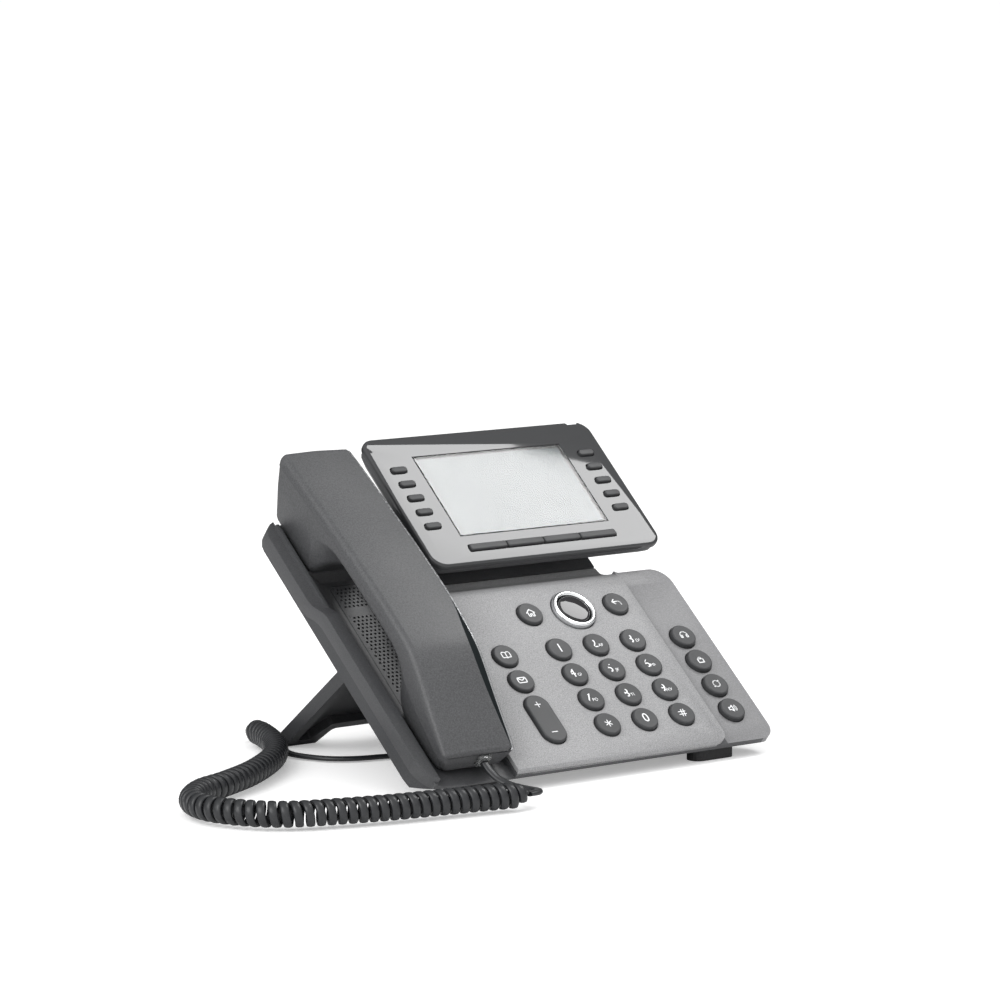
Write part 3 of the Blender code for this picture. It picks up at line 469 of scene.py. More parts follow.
def front_housing():
    """The upper half of the base, with the handset's bay and the paler strip of keys at the right."""
    under = lower(PLATE_PROFILE, PLATE_THICK + GAP)
    deck = [(-70, under[0][1])] + under[1:] + [(80.6, -17.3), (81.2, -14.8), (140, -14.8)]
    ledge = [(-70, under[0][1]), under[1], (PLATE_STEP, level(under, PLATE_STEP))]
    ledge += [(PLATE_STEP + 0.1, level(WALL_TOP, PLATE_STEP)), *WALL_TOP[4:]]
    strip = [(-70, STRIP_TOP), (140, STRIP_TOP)]
    edge = PLATE_RIGHT + GAP
    block = banded_block(
        [
            (-160, SEAM, WALL_TOP),
            (-101, SEAM, WALL_TOP),
            (-100, SEAM, ledge),
            (CRADLE_RIGHT, SEAM, ledge),
            (CRADLE_RIGHT + 0.5, NECK_SEAM, deck),
            (edge, NECK_SEAM, deck),
            (edge + 0.3, NECK_SEAM, strip),
            (90, NECK_SEAM, strip),
        ]
    )
    body = make("base_shell", prism(base_outline(), -30.0, 0.5), [HOUSING, STRIP])
    carve(body, block, "INTERSECT")
    front = [(-53, -9.4), (-41, -11.6), (-34, -12.2), (-7.3, -12.3)]
    tub = trough(front, -10.2, [(2, -22.2), (96.4, -22.2)], [(99.6, -14.8), (126, -14.8)], 1.8, -6.0)
    carve(body, tub, "UNION")
    front = [(-70, -7.2), (-49, -7.4), (-41, -9.4), (-34, -10), (-6, -10.1)]
    floor = [(4, GRILLE_TOP), (95, GRILLE_TOP)]
    carve(body, trough(front, -8.0, floor, [(98, -12.6), (140, -12.6)], 0.0, 12.0))
    soften(body, 1.5, 4, 40.0)
    hole = box_outline(GRILLE_LEFT - GAP, GRILLE_RIGHT + GAP, GRILLE_FRONT - GAP, GRILLE_BACK + GAP, 3)
    carve(body, prism(hole, -40, -15))
    hook_hole = box_outline(-122.4, -110.6, 108.6, 117.4, 1)
    carve(body, prism(hook_hole, -40, 5))
    for _, x, s in strip_keys():
        hole = [(KEY_HOLE_RADIUS, -12), (KEY_HOLE_RADIUS, -5.2), (KEY_HOLE_RADIUS + 0.5, -4.7)]
        carve(body, turned(x, s, hole))
    reshade(body)
    inverse = DECK.inverted()
    for polygon in body.data.polygons:
        place = inverse @ polygon.center
        polygon.material_index = int(place.x > edge and place.z > -9.0 and place.y > BASE_FRONT - 1)
    return enter(body, "base", ["base_front_housing"])


def keypad_plate():
    """The plate, rolled down over its front edge and dipping under the display."""
    rolled = [(0.0, -1.6), (0.2, -0.7), (1.0, 0.0)]
    top = [(BASE_FRONT + s, PLATE_TOP + n) for s, n in rolled] + smooth_line(PLATE_PROFILE[1:], 4)
    profile = top + lower(top[::-1], PLATE_THICK)
    body = make("deck_plate", side_prism(profile, PLATE_LEFT, PLATE_RIGHT), [PLATE])
    carve(body, prism(box_outline(-100, CRADLE_RIGHT + GAP, PLATE_STEP - GAP, 140), -30, 12))
    corner, past = 7.0, 3.0
    wedge = [
        (PLATE_RIGHT - corner, BASE_FRONT - past),
        (PLATE_RIGHT + past, BASE_FRONT - past),
        (PLATE_RIGHT + past, BASE_FRONT + corner),
    ]
    rounding = arc(PLATE_RIGHT - corner, BASE_FRONT + corner, corner, 0, -90, 9)
    carve(body, prism(wedge + rounding, -9, 4))
    soften(body, 0.35, 2, 50.0)
    for _, x, s in plate_keys():
        hole = [(KEY_HOLE_RADIUS, -9), (KEY_HOLE_RADIUS, -2.4), (KEY_HOLE_RADIUS + 0.5, -1.9)]
        carve(body, turned(x, s, hole))
    ring = [(NAV_RADIUS + 0.4, -9), (NAV_RADIUS + 0.4, -2.5), (NAV_RADIUS + 1.0, -1.9)]
    carve(body, turned(*NAV_CENTRE, ring, 72))
    x, s, width, length = VOLUME
    rocker = [(pill(x, s, width + w, length + w), n) for w, n in ((0.7, -9), (0.7, -2.4), (1.7, -1.9))]
    carve(body, loft(layers(rocker)))
    reshade(body)
    return enter(body, "base", ["keypad_plate"])


def grille():
    """A moulded grille: two fields of staggered holes, a smooth band between them and a rim round both."""
    pitch_x, pitch_s, radius, depth, rim = 2.5, 2.3, 0.78, 1.4, 1.5
    fields = ((GRILLE_FRONT + rim, 71.0), (76.5, GRILLE_BACK - rim))
    x0, x1 = GRILLE_LEFT + rim, GRILLE_RIGHT - rim
    bm = bmesh.new()
    columns = int((x1 - x0) / (pitch_x / 2)) // 2 * 2 + 1
    step = (x1 - x0) / columns

    def rectangle(xa, xb, sa, sb):
        corners = ((xa, sa), (xb, sa), (xb, sb), (xa, sb))
        bm.faces.new([bm.verts.new((x, s, GRILLE_TOP)) for x, s in corners])

    for front, back in fields:
        rows = int((back - front) / pitch_s) // 2 * 2
        rise = (back - front) / rows
        for row in range(rows):
            shift = row % 2
            s0 = front + row * rise
            for column in range(shift, columns - 1, 2):
                left = x0 + column * step
                perforated_cell(bm, left, left + 2 * step, s0, s0 + rise, radius, depth)
            spare = x0 if shift else x1 - step
            rectangle(spare, spare + step, s0, s0 + rise)
    (front_a, back_a), (front_b, back_b) = fields
    rectangle(GRILLE_LEFT, x0, GRILLE_FRONT, GRILLE_BACK)
    rectangle(x1, GRILLE_RIGHT, GRILLE_FRONT, GRILLE_BACK)
    rectangle(x0, x1, GRILLE_FRONT, front_a)
    rectangle(x0, x1, back_a, front_b)
    rectangle(x0, x1, back_b, GRILLE_BACK)
    bmesh.ops.remove_doubles(bm, verts=bm.verts, dist=0.002)
    piece("grille_face", bm, [HOUSING], "base", ["speaker_grille"])
    outline = box_outline(GRILLE_LEFT, GRILLE_RIGHT, GRILLE_FRONT, GRILLE_BACK, 2.5)
    cloth = prism(outline, GRILLE_TOP - 1.8, GRILLE_TOP - depth)
    piece("grille_cloth", cloth, [SPEAKER_CLOTH], "base")


def perforated_cell(bm, x0, x1, s0, s1, radius, depth):
    """A rectangle with a round hole through it, as eight quads and the hole's wall."""
    xm, sm = (x0 + x1) / 2, (s0 + s1) / 2
    rim = [(x1, sm), (x1, s1), (xm, s1), (x0, s1), (x0, sm), (x0, s0), (xm, s0), (x1, s0)]
    outer = [bm.verts.new((x, s, GRILLE_TOP)) for x, s in rim]
    hole = circle(xm, sm, radius, 8)
    inner = [bm.verts.new((x, s, GRILLE_TOP)) for x, s in hole]
    deep = [bm.verts.new((x, s, GRILLE_TOP - depth)) for x, s in hole]
    for i in range(8):
        j = (i + 1) % 8
        bm.faces.new((outer[i], outer[j], inner[j], inner[i]))
        bm.faces.new((inner[i], inner[j], deep[j], deep[i]))


# ---------------------------------------------------------------- keys

def dial_keys():
    """The name and centre of each key of the dial."""
    names = ("1", "2", "3", "4", "5", "6", "7", "8", "9", "star", "0", "hash")
    for index, name in enumerate(names):
        yield f"key_{name}", (index % 3 - 1) * COLUMN, (1 - index // 3) * ROW


def plate_keys():
    yield from dial_keys()
    yield "key_home", -28.5, 43.0
    yield "key_back", 28.5, 43.0
    yield "key_phonebook", -SIDE_COLUMN, ROW
    yield "key_voicemail", -SIDE_COLUMN, 0.0


def strip_keys():
    for name, row in (("key_headset", 1), ("key_private", 0), ("key_redial", -1), ("key_speaker", -2)):
        yield name, SIDE_COLUMN, row * ROW


def arc(cx, cy, radius, first, last, count=12):
    """Points on an arc between two angles in degrees."""
    turns = [math.radians(first + (last - first) * i / count) for i in range(count + 1)]
    return [(cx + radius * math.cos(a), cy + radius * math.sin(a)) for a in turns]


# Icons as strokes in a square from -1 to 1.
ICONS = {
    "home": [
        [(-1, 0.05), (0, 0.95), (1, 0.05)],
        [(-0.68, 0.3), (-0.68, -0.85), (-0.22, -0.85), (-0.22, -0.25), (0.22, -0.25), (0.22, -0.85),
         (0.68, -0.85), (0.68, 0.3)],
    ],
    "back": [
        [(-0.35, 0.95), (-1, 0.35), (-0.35, -0.25)],
        [(-1, 0.35), (0.3, 0.35)] + arc(0.3, -0.35, 0.7, 90, -20),
    ],
    "phonebook": [
        [(0, 0.6), (-0.35, 0.78), (-1, 0.78), (-1, -0.62), (-0.35, -0.62), (0, -0.8), (0, 0.6), (0.35, 0.78),
         (1, 0.78), (1, -0.62), (0.35, -0.62), (0, -0.8)],
    ],
    "voicemail": [
        [(-1, -0.65), (1, -0.65), (1, 0.65), (-1, 0.65), (-1, -0.65)],
        [(-1, 0.6), (0, -0.1), (1, 0.6)],
    ],
    "headset": [
        arc(0, 0, 0.9, 180, 0),
        [(-0.9, 0), (-0.9, -0.6), (-0.5, -0.6), (-0.5, 0), (-0.9, 0)],
        [(0.9, 0), (0.9, -0.6), (0.5, -0.6), (0.5, 0), (0.9, 0)],
    ],
    "private": [
        [(-0.65, 0.1), (0.65, 0.1), (0.65, -0.85), (-0.65, -0.85), (-0.65, 0.1)],
        arc(0, 0.1, 0.42, 180, 0),
    ],
    "redial": [
        arc(0, 0, 0.8, 200, 40),
        arc(0, 0, 0.8, 20, -140),
        [(0.95, 0.85), (0.6, 0.5), (0.2, 0.75)],
        [(-0.95, -0.85), (-0.6, -0.5), (-0.2, -0.75)],
    ],
    "speaker": [
        [(-0.95, 0.3), (-0.5, 0.3), (0, 0.75), (0, -0.75), (-0.5, -0.3), (-0.95, -0.3), (-0.95, 0.3)],
        arc(0, 0, 0.5, 45, -45, 8),
        arc(0, 0, 0.9, 45, -45, 8),
    ],
    "plus": [[(-1, 0), (1, 0)], [(0, -1), (0, 1)]],
    "minus": [[(-1, 0), (1, 0)]],
    "star": [arc(0, 0, 1.0, angle, angle + 180, 1) for angle in (30, 90, 150)],
    "hash": [[(-1, 0.4), (1, 0.4)], [(-1, -0.4), (1, -0.4)], [(-0.25, -1), (0.0, 1)], [(0.4, -1), (0.65, 1)]],
}
DIAL_LETTERS = dict(zip("23456789", ("ABC", "DEF", "GHI", "JKL", "MNO", "PQRS", "TUV", "WXYZ")))
INK_THICK = 0.04
# How far the printed characters lie under the top of a cap's rim.
INK_DEPTH = 0.24
DIGIT_SIZE, LETTER_SIZE = 8.0, 2.8


def add_strokes(bm, lines, x, y, size, width, height):
    """Printed lines: each run of a stroke is a thin flat bar, with a round dot where runs meet."""
    for line in lines:
        points = [Vector((x + px * size, y + py * size)) for px, py in line]
        for a, b in zip(points, points[1:]):
            side = (b - a).normalized().orthogonal() * width / 2
            ring = [a + side, b + side, b - side, a - side]
            add_loft(bm, [[(p.x, p.y, h) for p in ring] for h in (height, height + INK_THICK)])
        for p in points:
            dot = circle(p.x, p.y, width / 2, 8)
            add_loft(bm, [[(px, py, h) for px, py in dot] for h in (height, height + INK_THICK)])


def add_text(bm, words, x, y, size, height):
    """Printed characters, centred on a point."""
    curve = bpy.data.curves.new("letters", "FONT")
    curve.body = words
    curve.size = size
    curve.align_x, curve.align_y = "CENTER", "CENTER"
    curve.extrude = INK_THICK / 2
    curve.resolution_u = 4
    obj = bpy.data.objects.new("letters", curve)
    bpy.context.scene.collection.objects.link(obj)
    bpy.context.view_layer.update()
    mesh = bpy.data.meshes.new_from_object(obj.evaluated_get(bpy.context.evaluated_depsgraph_get()))
    mesh.transform(Matrix.Translation((x, y, height + INK_THICK / 2)))
    bm.from_mesh(mesh)
    bpy.data.objects.remove(obj, do_unlink=True)
    bpy.data.meshes.remove(mesh)


def key_cap(x, s, top):
    """A cap with a rounded edge and a slightly hollow top."""
    radius, edge = KEY_RADIUS, 0.9
    profile = [(radius, top - 5.2), (radius, top - edge)]
    profile += [
        (radius - edge + edge * math.cos(math.radians(a)), top - edge + edge * math.sin(math.radians(a)))
        for a in range(15, 91, 15)
    ]
    profile += [(radius - 2.2, top - 0.12), (radius - 4.4, top - 0.22), (0.4, top - 0.26)]
    return turned(x, s, profile, 56)


def round_key(name, x, s, top):
    """A key on the deck or the strip, with its printed character or icon."""
    body = f"{name}_body"
    piece(f"{name}_cap", key_cap(x, s, top), [KEYCAP], body, [name])
    ink = bmesh.new()
    word = name.removeprefix("key_")
    face = top - INK_DEPTH
    if word == "star":
        add_strokes(ink, ICONS[word], x, s, 2.1, 0.55, face)
    elif word == "hash":
        add_strokes(ink, ICONS[word], x - 0.3, s, 2.2, 0.5, face)
    elif word in ICONS:
        add_strokes(ink, ICONS[word], x, s, 2.6, 0.62, face)
    elif word in DIAL_LETTERS:
        add_text(ink, word, x - 2.2, s, DIGIT_SIZE, face)
        add_text(ink, DIAL_LETTERS[word], x + 2.7, s - 1.3, LETTER_SIZE, face)
    else:
        add_text(ink, word, x, s, DIGIT_SIZE, face)
    piece(f"{name}_legend", ink, [INK], body)


def volume_rocker():
    """A long key with a rounded edge, a slightly hollow top and a sign at each end."""
    x, s, width, length = VOLUME
    edge = 0.9
    rings = [(0.0, -5.4), (0.0, -edge)]
    for angle in range(15, 91, 15):
        turn = math.radians(angle)
        rings.append((2 * edge * (1 - math.cos(turn)), edge * (math.sin(turn) - 1)))
    rings += [(5.0, -0.16), (10.0, -INK_DEPTH)]
    cap = [(pill(x, s, width - inset, length - inset, 12), height) for inset, height in rings]
    piece("volume_cap", loft(layers(cap)), [KEYCAP], "volume", ["volume_rocker"])
    ink = bmesh.new()
    for sign, place in (("plus", s + 9.3), ("minus", s - 9.3)):
        add_strokes(ink, ICONS[sign], x, place, 1.7, 0.5, -INK_DEPTH)
    piece("volume_legend", ink, [INK], "volume")


def navigation():
    """The chrome ring that tilts four ways, and the button in its middle."""
    x, s = NAV_CENTRE
    rounding = [(0.0, -4.4), (0.0, -0.6), (-0.25, 0.1), (-0.8, 0.55), (-1.4, 0.68), (-2.1, 0.5)]
    profile = [(NAV_RADIUS + r, n) for r, n in rounding]
    profile += [(NAV_BORE_RADIUS + 0.35, 0.0), (NAV_BORE_RADIUS, -0.8), (NAV_BORE_RADIUS, -4.4)]
    bm = bmesh.new()
    rings = [[bm.verts.new((px, py, n)) for px, py in circle(x, s, r, 96)] for r, n in profile]
    for low, high in zip(rings, rings[1:] + rings[:1]):
        add_band(bm, low, high)
    piece("nav_ring_face", bm, [CHROME], "nav", ["nav_ring"], smooth_angle=60.0)
    button = [(OK_RADIUS, -4.2), (OK_RADIUS, -0.9), (OK_RADIUS - 0.15, -0.45), (OK_RADIUS - 0.5, -0.15)]
    button += [(OK_RADIUS - 1.2, 0.02), (OK_RADIUS - 3, 0.18), (3.0, 0.28), (0.5, 0.3)]
    dome = turned(x, s, button, 72)
    piece("ok_face", dome, [BLACK], "ok", ["ok_button"], smooth_angle=60.0)


# ---------------------------------------------------------------- handset

HANDSET_X = -116.5
# Stations: place along the slope, lean, outer face, parting drop, inner face, half widths of both.
HANDSET_STATIONS = (
    (-45.0, 0.0, 7.3, 1.7, -5.4, 21.8, 17.4),
    (-40.0, 0.0, 9.2, 2.4, -8.4, 22.0, 18.0),
    (-22.0, 0.0, 15.8, 4.0, -9.6, 22.0, 18.0),
    (-8.0, 0.0, 21.2, 5.0, -9.7, 22.0, 17.5),
    (2.0, 0.0, 24.6, 5.2, -6.0, 22.0, 16.0),
    (10.0, 0.0, 26.4, 5.2, 3.0, 22.0, 14.0),
    (20.0, 0.05, 27.1, 5.2, 8.2, 22.0, 12.6),
    (40.0, 0.1, 27.2, 5.2, 9.0, 22.0, 12.0),
    (66.0, 0.2, 26.4, 5.2, 9.0, 22.0, 12.0),
    (80.0, 0.3, 25.5, 5.2, 7.5, 22.0, 13.0),
    (90.0, 0.36, 24.8, 5.2, 0.0, 22.0, 16.0),
    (99.0, 0.42, 24.2, 5.2, -10.0, 22.0, 18.5),
    (104.0, 0.44, 23.9, 5.2, -12.0, 22.0, 19.0),
    (124.0, 0.46, 22.6, 5.2, -12.0, 22.0, 19.0),
    (138.0, 0.476, 21.4, 5.2, -12.0, 21.8, 18.8),
)
CORNER_STEPS = 5


def handset_sections():
    """Smooth stations along the handset, with its ends rounded by shrinking sections: (station, inset)."""
    stations = smooth_line(HANDSET_STATIONS, 6)
    reach = 2.2
    (first, *first_rest), (last, *last_rest) = stations[0], stations[-1]
    start, end = [], []
    for angle in (80, 60, 40, 20):
        out, inset = reach * math.sin(math.radians(angle)), reach * (1 - math.cos(math.radians(angle)))
        start.append(((first - out, *first_rest), inset))
        end.append(((last + out, *last_rest), inset))
    return start + [(station, 0.0) for station in stations] + end[::-1]


def facet_width(s):
    """The facet on the right is narrow along the grip and widens over the mouthpiece."""
    t = min(1.0, max(0.0, (38.0 - s) / 33.0))
    return 2.0 + 5.0 * t * t * (3 - 2 * t)


def back_section(station, inset):
    """The outer half's section, with a facet and a silver trim along its right edge."""
    s, lean, top, drop, _, wide, _ = station
    wide, edge = wide - inset, top - drop
    top -= inset
    edge = min(edge, top - 0.8)
    chamfer = min(facet_width(s), (top - edge) * 1.35)
    corners = [
        (-wide, edge, 0),
        (-wide + 0.5, top, min(3.8, (top - edge) * 0.8)),
        (0, top + 0.6, 120),
        (wide - chamfer, top, 0.8),
        (wide - 1.5, top - 0.3 * chamfer, 0.2),
        (wide, top - 0.3 * chamfer - 0.3, 0.35),
        (wide, edge - 0.01, 0),
    ]
    return [(HANDSET_X + x, s + lean * n, n) for x, n in arc_outline(corners, CORNER_STEPS)]


def face_section(station, inset):
    """The inner half's section, which narrows towards the ear."""
    s, lean, top, drop, bottom, wide, narrow = station
    edge = top - drop - GAP
    wide, narrow, bottom = wide - inset - 0.25, narrow - inset, bottom + inset
    depth = edge - bottom
    shoulder = edge - 0.35 * depth
    side = [
        (wide, edge, 0),
        (wide - 0.5, shoulder, min(3, depth * 0.25)),
        (narrow, bottom, min(4, depth * 0.3)),
    ]
    corners = side + [(-x, n, radius) for x, n, radius in reversed(side)]
    return [(HANDSET_X + x, s + lean * n, n) for x, n in arc_outline(corners, CORNER_STEPS)]


def handset():
    """Both halves of the handset, with the plug's socket and the holes over its two ends."""
    sections = handset_sections()
    shell = loft([back_section(*section) for section in sections])
    shell.faces.ensure_lookup_table()
    points = len(back_section(*sections[0]))
    arc_points = CORNER_STEPS + 1
    facet, trim = 3 * arc_points, 4 * arc_points
    for index in range(points * (len(sections) - 1)):
        shell.faces[index].material_index = {facet: 1, trim: 2}.get(index % points, 0)
    materials = [HANDSET, FACET, SILVER]
    piece("handset_back", shell, materials, "handset", ["handset_back_shell"])
    face = make("handset_face", loft([face_section(*section) for section in sections]), [HANDSET])
    socket = box_outline(-116.9, -108.7, -60, -38, 0.8)
    carve(face, prism(socket, -2.3, 4.5))
    for middle in (118.0, -22.0):
        for row in range(-2, 3):
            for column in range(-3, 4):
                if abs(row) + abs(column) < 5:
                    x, s = HANDSET_X + column * 3.0, middle + row * 3.0
                    carve(face, turned(x, s, [(0.7, -20), (0.7, -8)], 10))
    reshade(face)
    enter(face, "handset", ["handset_face_shell"])


# ---------------------------------------------------------------- display

def display_outline(inset=0.0):
    half = DISPLAY_HALF_WIDTH - inset
    return box_outline(-half, half, DISPLAY_BOTTOM + inset, DISPLAY_TOP - inset, 8.0, 10)


def centred(x, y, width, height, radius=0.0, steps=6):
    """A rectangle round its centre."""
    return box_outline(x - width / 2, x + width / 2, y - height / 2, y + height / 2, radius, steps)


def window(wider):
    """The window's outline, wider by some amount at each edge."""
    return centred(0, 0, WINDOW_SIZE[0] + 2 * wider, WINDOW_SIZE[1] + 2 * wider)


def line_keys():
    """The name and centre of each key beside the display's window."""
    for side, sign in (("left", -1), ("right", 1)):
        for index in range(5):
            yield f"line_key_{side}_{index + 1}", sign * LINE_KEY_X, (2 - index) * LINE_KEY_PITCH


def soft_keys():
    """The name and centre of each key under the display's window."""
    for index in range(4):
        yield f"soft_key_{index + 1}", (index - 1.5) * SOFT_KEY_PITCH, SOFT_KEY_B


def fascia():
    """A polished frame with a rounded edge, a chamfered window opening and slots for its keys."""
    turns = [math.radians(angle) for angle in (0, 22, 45, 68, 90)]
    edge = [(display_outline(1.4 * (1 - math.cos(t))), -1.4 + 1.4 * math.sin(t)) for t in turns]
    body = make("fascia", loft(layers([(display_outline(), -FASCIA_THICK)] + edge)), [GLOSS], DISPLAY)
    steps = ((GAP - 1.5, -6), (GAP - 1.5, -1.5), (GAP, -1.5), (GAP, -0.25), (GAP + 0.5, 0.25))
    carve(body, loft(layers([(window(wider), height) for wider, height in steps])), place=DISPLAY)
    width, height = LINE_KEY_SIZE
    for _, x, b in line_keys():
        steps = ((0.7, -6), (0.7, -0.4), (1.3, 0.1))
        hole = [(pill(x, b, width + wider, height + wider), n) for wider, n in steps]
        carve(body, loft(layers(hole)), place=DISPLAY)
    width, height = 4 * SOFT_KEY_PITCH, SOFT_KEY_SIZE[1] + 0.7
    steps = ((0.0, -6), (0.0, -0.4), (0.7, 0.1))
    slot = [(centred(0, SOFT_KEY_B, width + wider, height + wider, 1.6), n) for wider, n in steps]
    carve(body, loft(layers(slot)), place=DISPLAY)
    reshade(body, 30.0)
    enter(body, "display", ["display_fascia"])
    lamp = prism([(61.5, 42.9), (69.5, 42.9), (68.6, 41.3), (62.4, 41.3)], -0.3, 0.06)
    piece("message_lamp", lamp, [INK], "display", place=DISPLAY)


def screen():
    """A clear window with a dark printed border, over the lit panel."""
    outer = window(0.0)
    glass = loft(layers([(outer, -1.2), (outer, -0.2), (window(-0.2), 0.0)]))
    piece("window_glass", glass, [WINDOW], "display", ["display_window"], DISPLAY)
    mask = make("window_mask", prism(outer, -1.34, -1.26), [BLACK], DISPLAY)
    carve(mask, prism(centred(0, 0, *LIT_SIZE), -3, 3), place=DISPLAY)
    enter(mask, "display")
    panel, rim = centred(0, 0, 105.4, 67.0, 1), centred(0, 0, 104.4, 66.0, 1)
    module = loft(layers([(panel, -6.4), (panel, -3.6), (rim, -3.4)]))
    piece("lit_panel", module, [LCD], "display", ["lcd_panel"], DISPLAY)
    light = prism(centred(0, 0, 96.0, 54.6), -1.9, -1.6)
    piece("lit_face", light, [LCD], "display", place=DISPLAY)


def domed_key(name, outline, rounding, rise):
    """A display key with straight sides and a rounded top. outline gives its ring at an inset."""
    rings = [(outline(0.0), -4.0), (outline(0.0), 0.75)]
    for angle in (25, 50, 75, 90):
        turn = math.radians(angle)
        rings.append((outline(rounding * (1 - math.cos(turn))), 0.75 + rise * math.sin(turn)))
    piece(f"{name}_cap", loft(layers(rings)), [KEYCAP], f"{name}_body", [name], DISPLAY)


def display_keys():
    width, height = LINE_KEY_SIZE
    for name, x, b in line_keys():
        domed_key(name, lambda inset: pill(x, b, width - inset, height - inset), 1.3, 0.65)
    width, height = SOFT_KEY_SIZE
    for name, x, b in soft_keys():
        domed_key(name, lambda inset: centred(x, b, width - inset, height - inset, 0.9, 3), 1.2, 0.6)


# ---------------------------------------------------------------- cords

# Routes in world millimetres: the coil's axis, then the lead at each of its ends.
COIL_ROUTE = (
    (-80, -125, 8), (-98, -121, 8), (-124, -116, 8), (-150, -111, 8), (-175, -104, 8), (-200, -94.5, 8),
    (-215, -79.5, 8), (-223, -59.5, 8), (-219.5, -39.5, 8), (-204, -23.5, 8), (-184, -14.5, 8), (-156, 2, 8),
    (-126, 28, 8), (-107, 55, 8), (-96.2, 80.5, 8), (-92, 98.5, 8),
)
HANDSET_LEAD_ROUTE = (
    (-77.55, -87.2, 17.1), (-77.2, -91.4, 13.7), (-75.8, -97, 10.2), (-73, -104, 8), (-70.2, -111.5, 7.4),
    (-69.2, -118.5, 7.6), (-72.6, -123.6, 7.9), (-79.2, -125.1, 8),
)
BASE_LEAD_ROUTE = (
    (-91.85, 99.3, 8), (-90.2, 103.6, 6), (-86.4, 106.8, 3), (-82.4, 104.3, 1.9), (-82.3, 97.5, 1.9),
    (-85.4, 90, 1.9), (-87.2, 82.5, 1.9), (-90.6, 72, 1.9), (-95.6, 59.5, 1.9), (-94.6, 48, 1.9),
    (-88, 34.5, 1.9), (-77, 26, 1.9), (-62, 21.5, 1.9), (-46, 17, 1.9), (-33, 9, 2.6), (-26.4, 0, 8),
    (-24.8, -4.5, 16), (-24.75, -9.2, 27.2),
)
# The cord's declared width and thickness, then the widths that its leads and its coil are drawn with.
CORD_WIDTH, CORD_THICK = 4.8, 2.5
LEAD_WIDTH, COIL_WIDTH = CORD_WIDTH - 0.2, CORD_WIDTH - 0.5
HELIX_RADIUS, HELIX_PITCH, HELIX_STEPS, HELIX_TAPER = 5.3, 5.3, 22, 9.0


def even_route(knots, spacing):
    """Points a fixed distance apart along a smooth curve."""
    line = [Vector(point) for point in smooth_line(knots, 24)]
    runs = [0.0]
    for a, b in zip(line, line[1:]):
        runs.append(runs[-1] + (b - a).length)
    count = max(2, round(runs[-1] / spacing))
    route, index = [], 0
    for step in range(count + 1):
        target = runs[-1] * step / count
        while index < len(line) - 2 and runs[index + 1] < target:
            index += 1
        share = (target - runs[index]) / (runs[index + 1] - runs[index])
        route.append(line[index].lerp(line[index + 1], share))
    return route


def directions(route):
    """The way that a route runs at each of its points."""
    ahead = route[1:] + [2 * route[-1] - route[-2]]
    behind = [2 * route[0] - route[1]] + route[:-1]
    return [(b - a).normalized() for a, b in zip(behind, ahead)]


def upright(direction):
    """The way across a run that is nearest to straight up."""
    up = Vector((0, 0, 1))
    up -= up.dot(direction) * direction
    return up.normalized() if up.length > 0.05 else Vector((0, 1, 0))


def flat_tube(bm, centres, thin_ways, widths):
    """A flat cord round a line of centres: thin the given way and wide across it."""
    rings = []
    for centre, direction, thin, width in zip(centres, directions(centres), thin_ways, widths):
        thin = (thin - thin.dot(direction) * direction).normalized()
        across = direction.cross(thin)
        ring = []
        for step in range(12):
            turn = 2 * math.pi * (step + 0.5) / 12
            side, rise = math.cos(turn), math.sin(turn)
            squarer = (abs(side) ** 3 + abs(rise) ** 3) ** (-1 / 3)
            ring.append(centre + across * side * squarer * width / 2 + thin * rise * squarer * CORD_THICK / 2)
        rings.append(ring)
    add_loft(bm, rings)


def path_length(points):
    return sum((b - a).length for a, b in zip(points, points[1:]))


def declare_cord(tube, centres):
    path_length(centres) * MM
    [point * MM for point in centres]


def handset_lead():
    """The short lead from the handset's plug to the coil."""
    lead = even_route(HANDSET_LEAD_ROUTE, 1.5)
    start_way = DECK.to_3x3().normalized() @ Vector((0, 0, 1))
    ways = [start_way.lerp(upright(d), i / (len(lead) - 1)) for i, d in enumerate(directions(lead))]
    bm = bmesh.new()
    flat_tube(bm, lead, ways, [LEAD_WIDTH] * len(lead))
    tube = make("handset_lead", bm, [JACKET], WORLD, 60.0)
    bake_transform(tube)
    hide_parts("cord_lead_handset")
    declare_cord(tube, lead)


def curly_cord():
    """The helix round the coil's axis, tapering to it at both ends, and the lead to the base."""
    step = HELIX_PITCH / HELIX_STEPS
    axis = even_route(COIL_ROUTE, step)
    centres, ways, widths = [], [], []
    for index, (place, direction) in enumerate(zip(axis, directions(axis))):
        run, left = index * step, (len(axis) - 1 - index) * step
        ramp = min(1.0, run / HELIX_TAPER, left / HELIX_TAPER)
        up = upright(direction)
        turn = 2 * math.pi * index / HELIX_STEPS
        radial = up * math.cos(turn) + direction.cross(up) * math.sin(turn)
        centres.append(place + radial * HELIX_RADIUS * ramp * (2 - ramp))
        ways.append(radial)
        widths.append(COIL_WIDTH)
    tail = even_route(BASE_LEAD_ROUTE, 1.6)
    last = ways[-1]
    for index, (place, direction) in enumerate(zip(tail, directions(tail))):
        centres.append(place)
        ways.append(last.lerp(upright(direction), min(1.0, index / 8)))
        widths.append(LEAD_WIDTH)
    bm = bmesh.new()
    flat_tube(bm, centres, ways, widths)
    nodes = ["cord_coil", "cord_lead_base"]
    tube = piece("curly_cord", bm, [JACKET], "base", nodes, WORLD, 60.0)
    declare_cord(tube, centres)


# ---------------------------------------------------------------- plugs

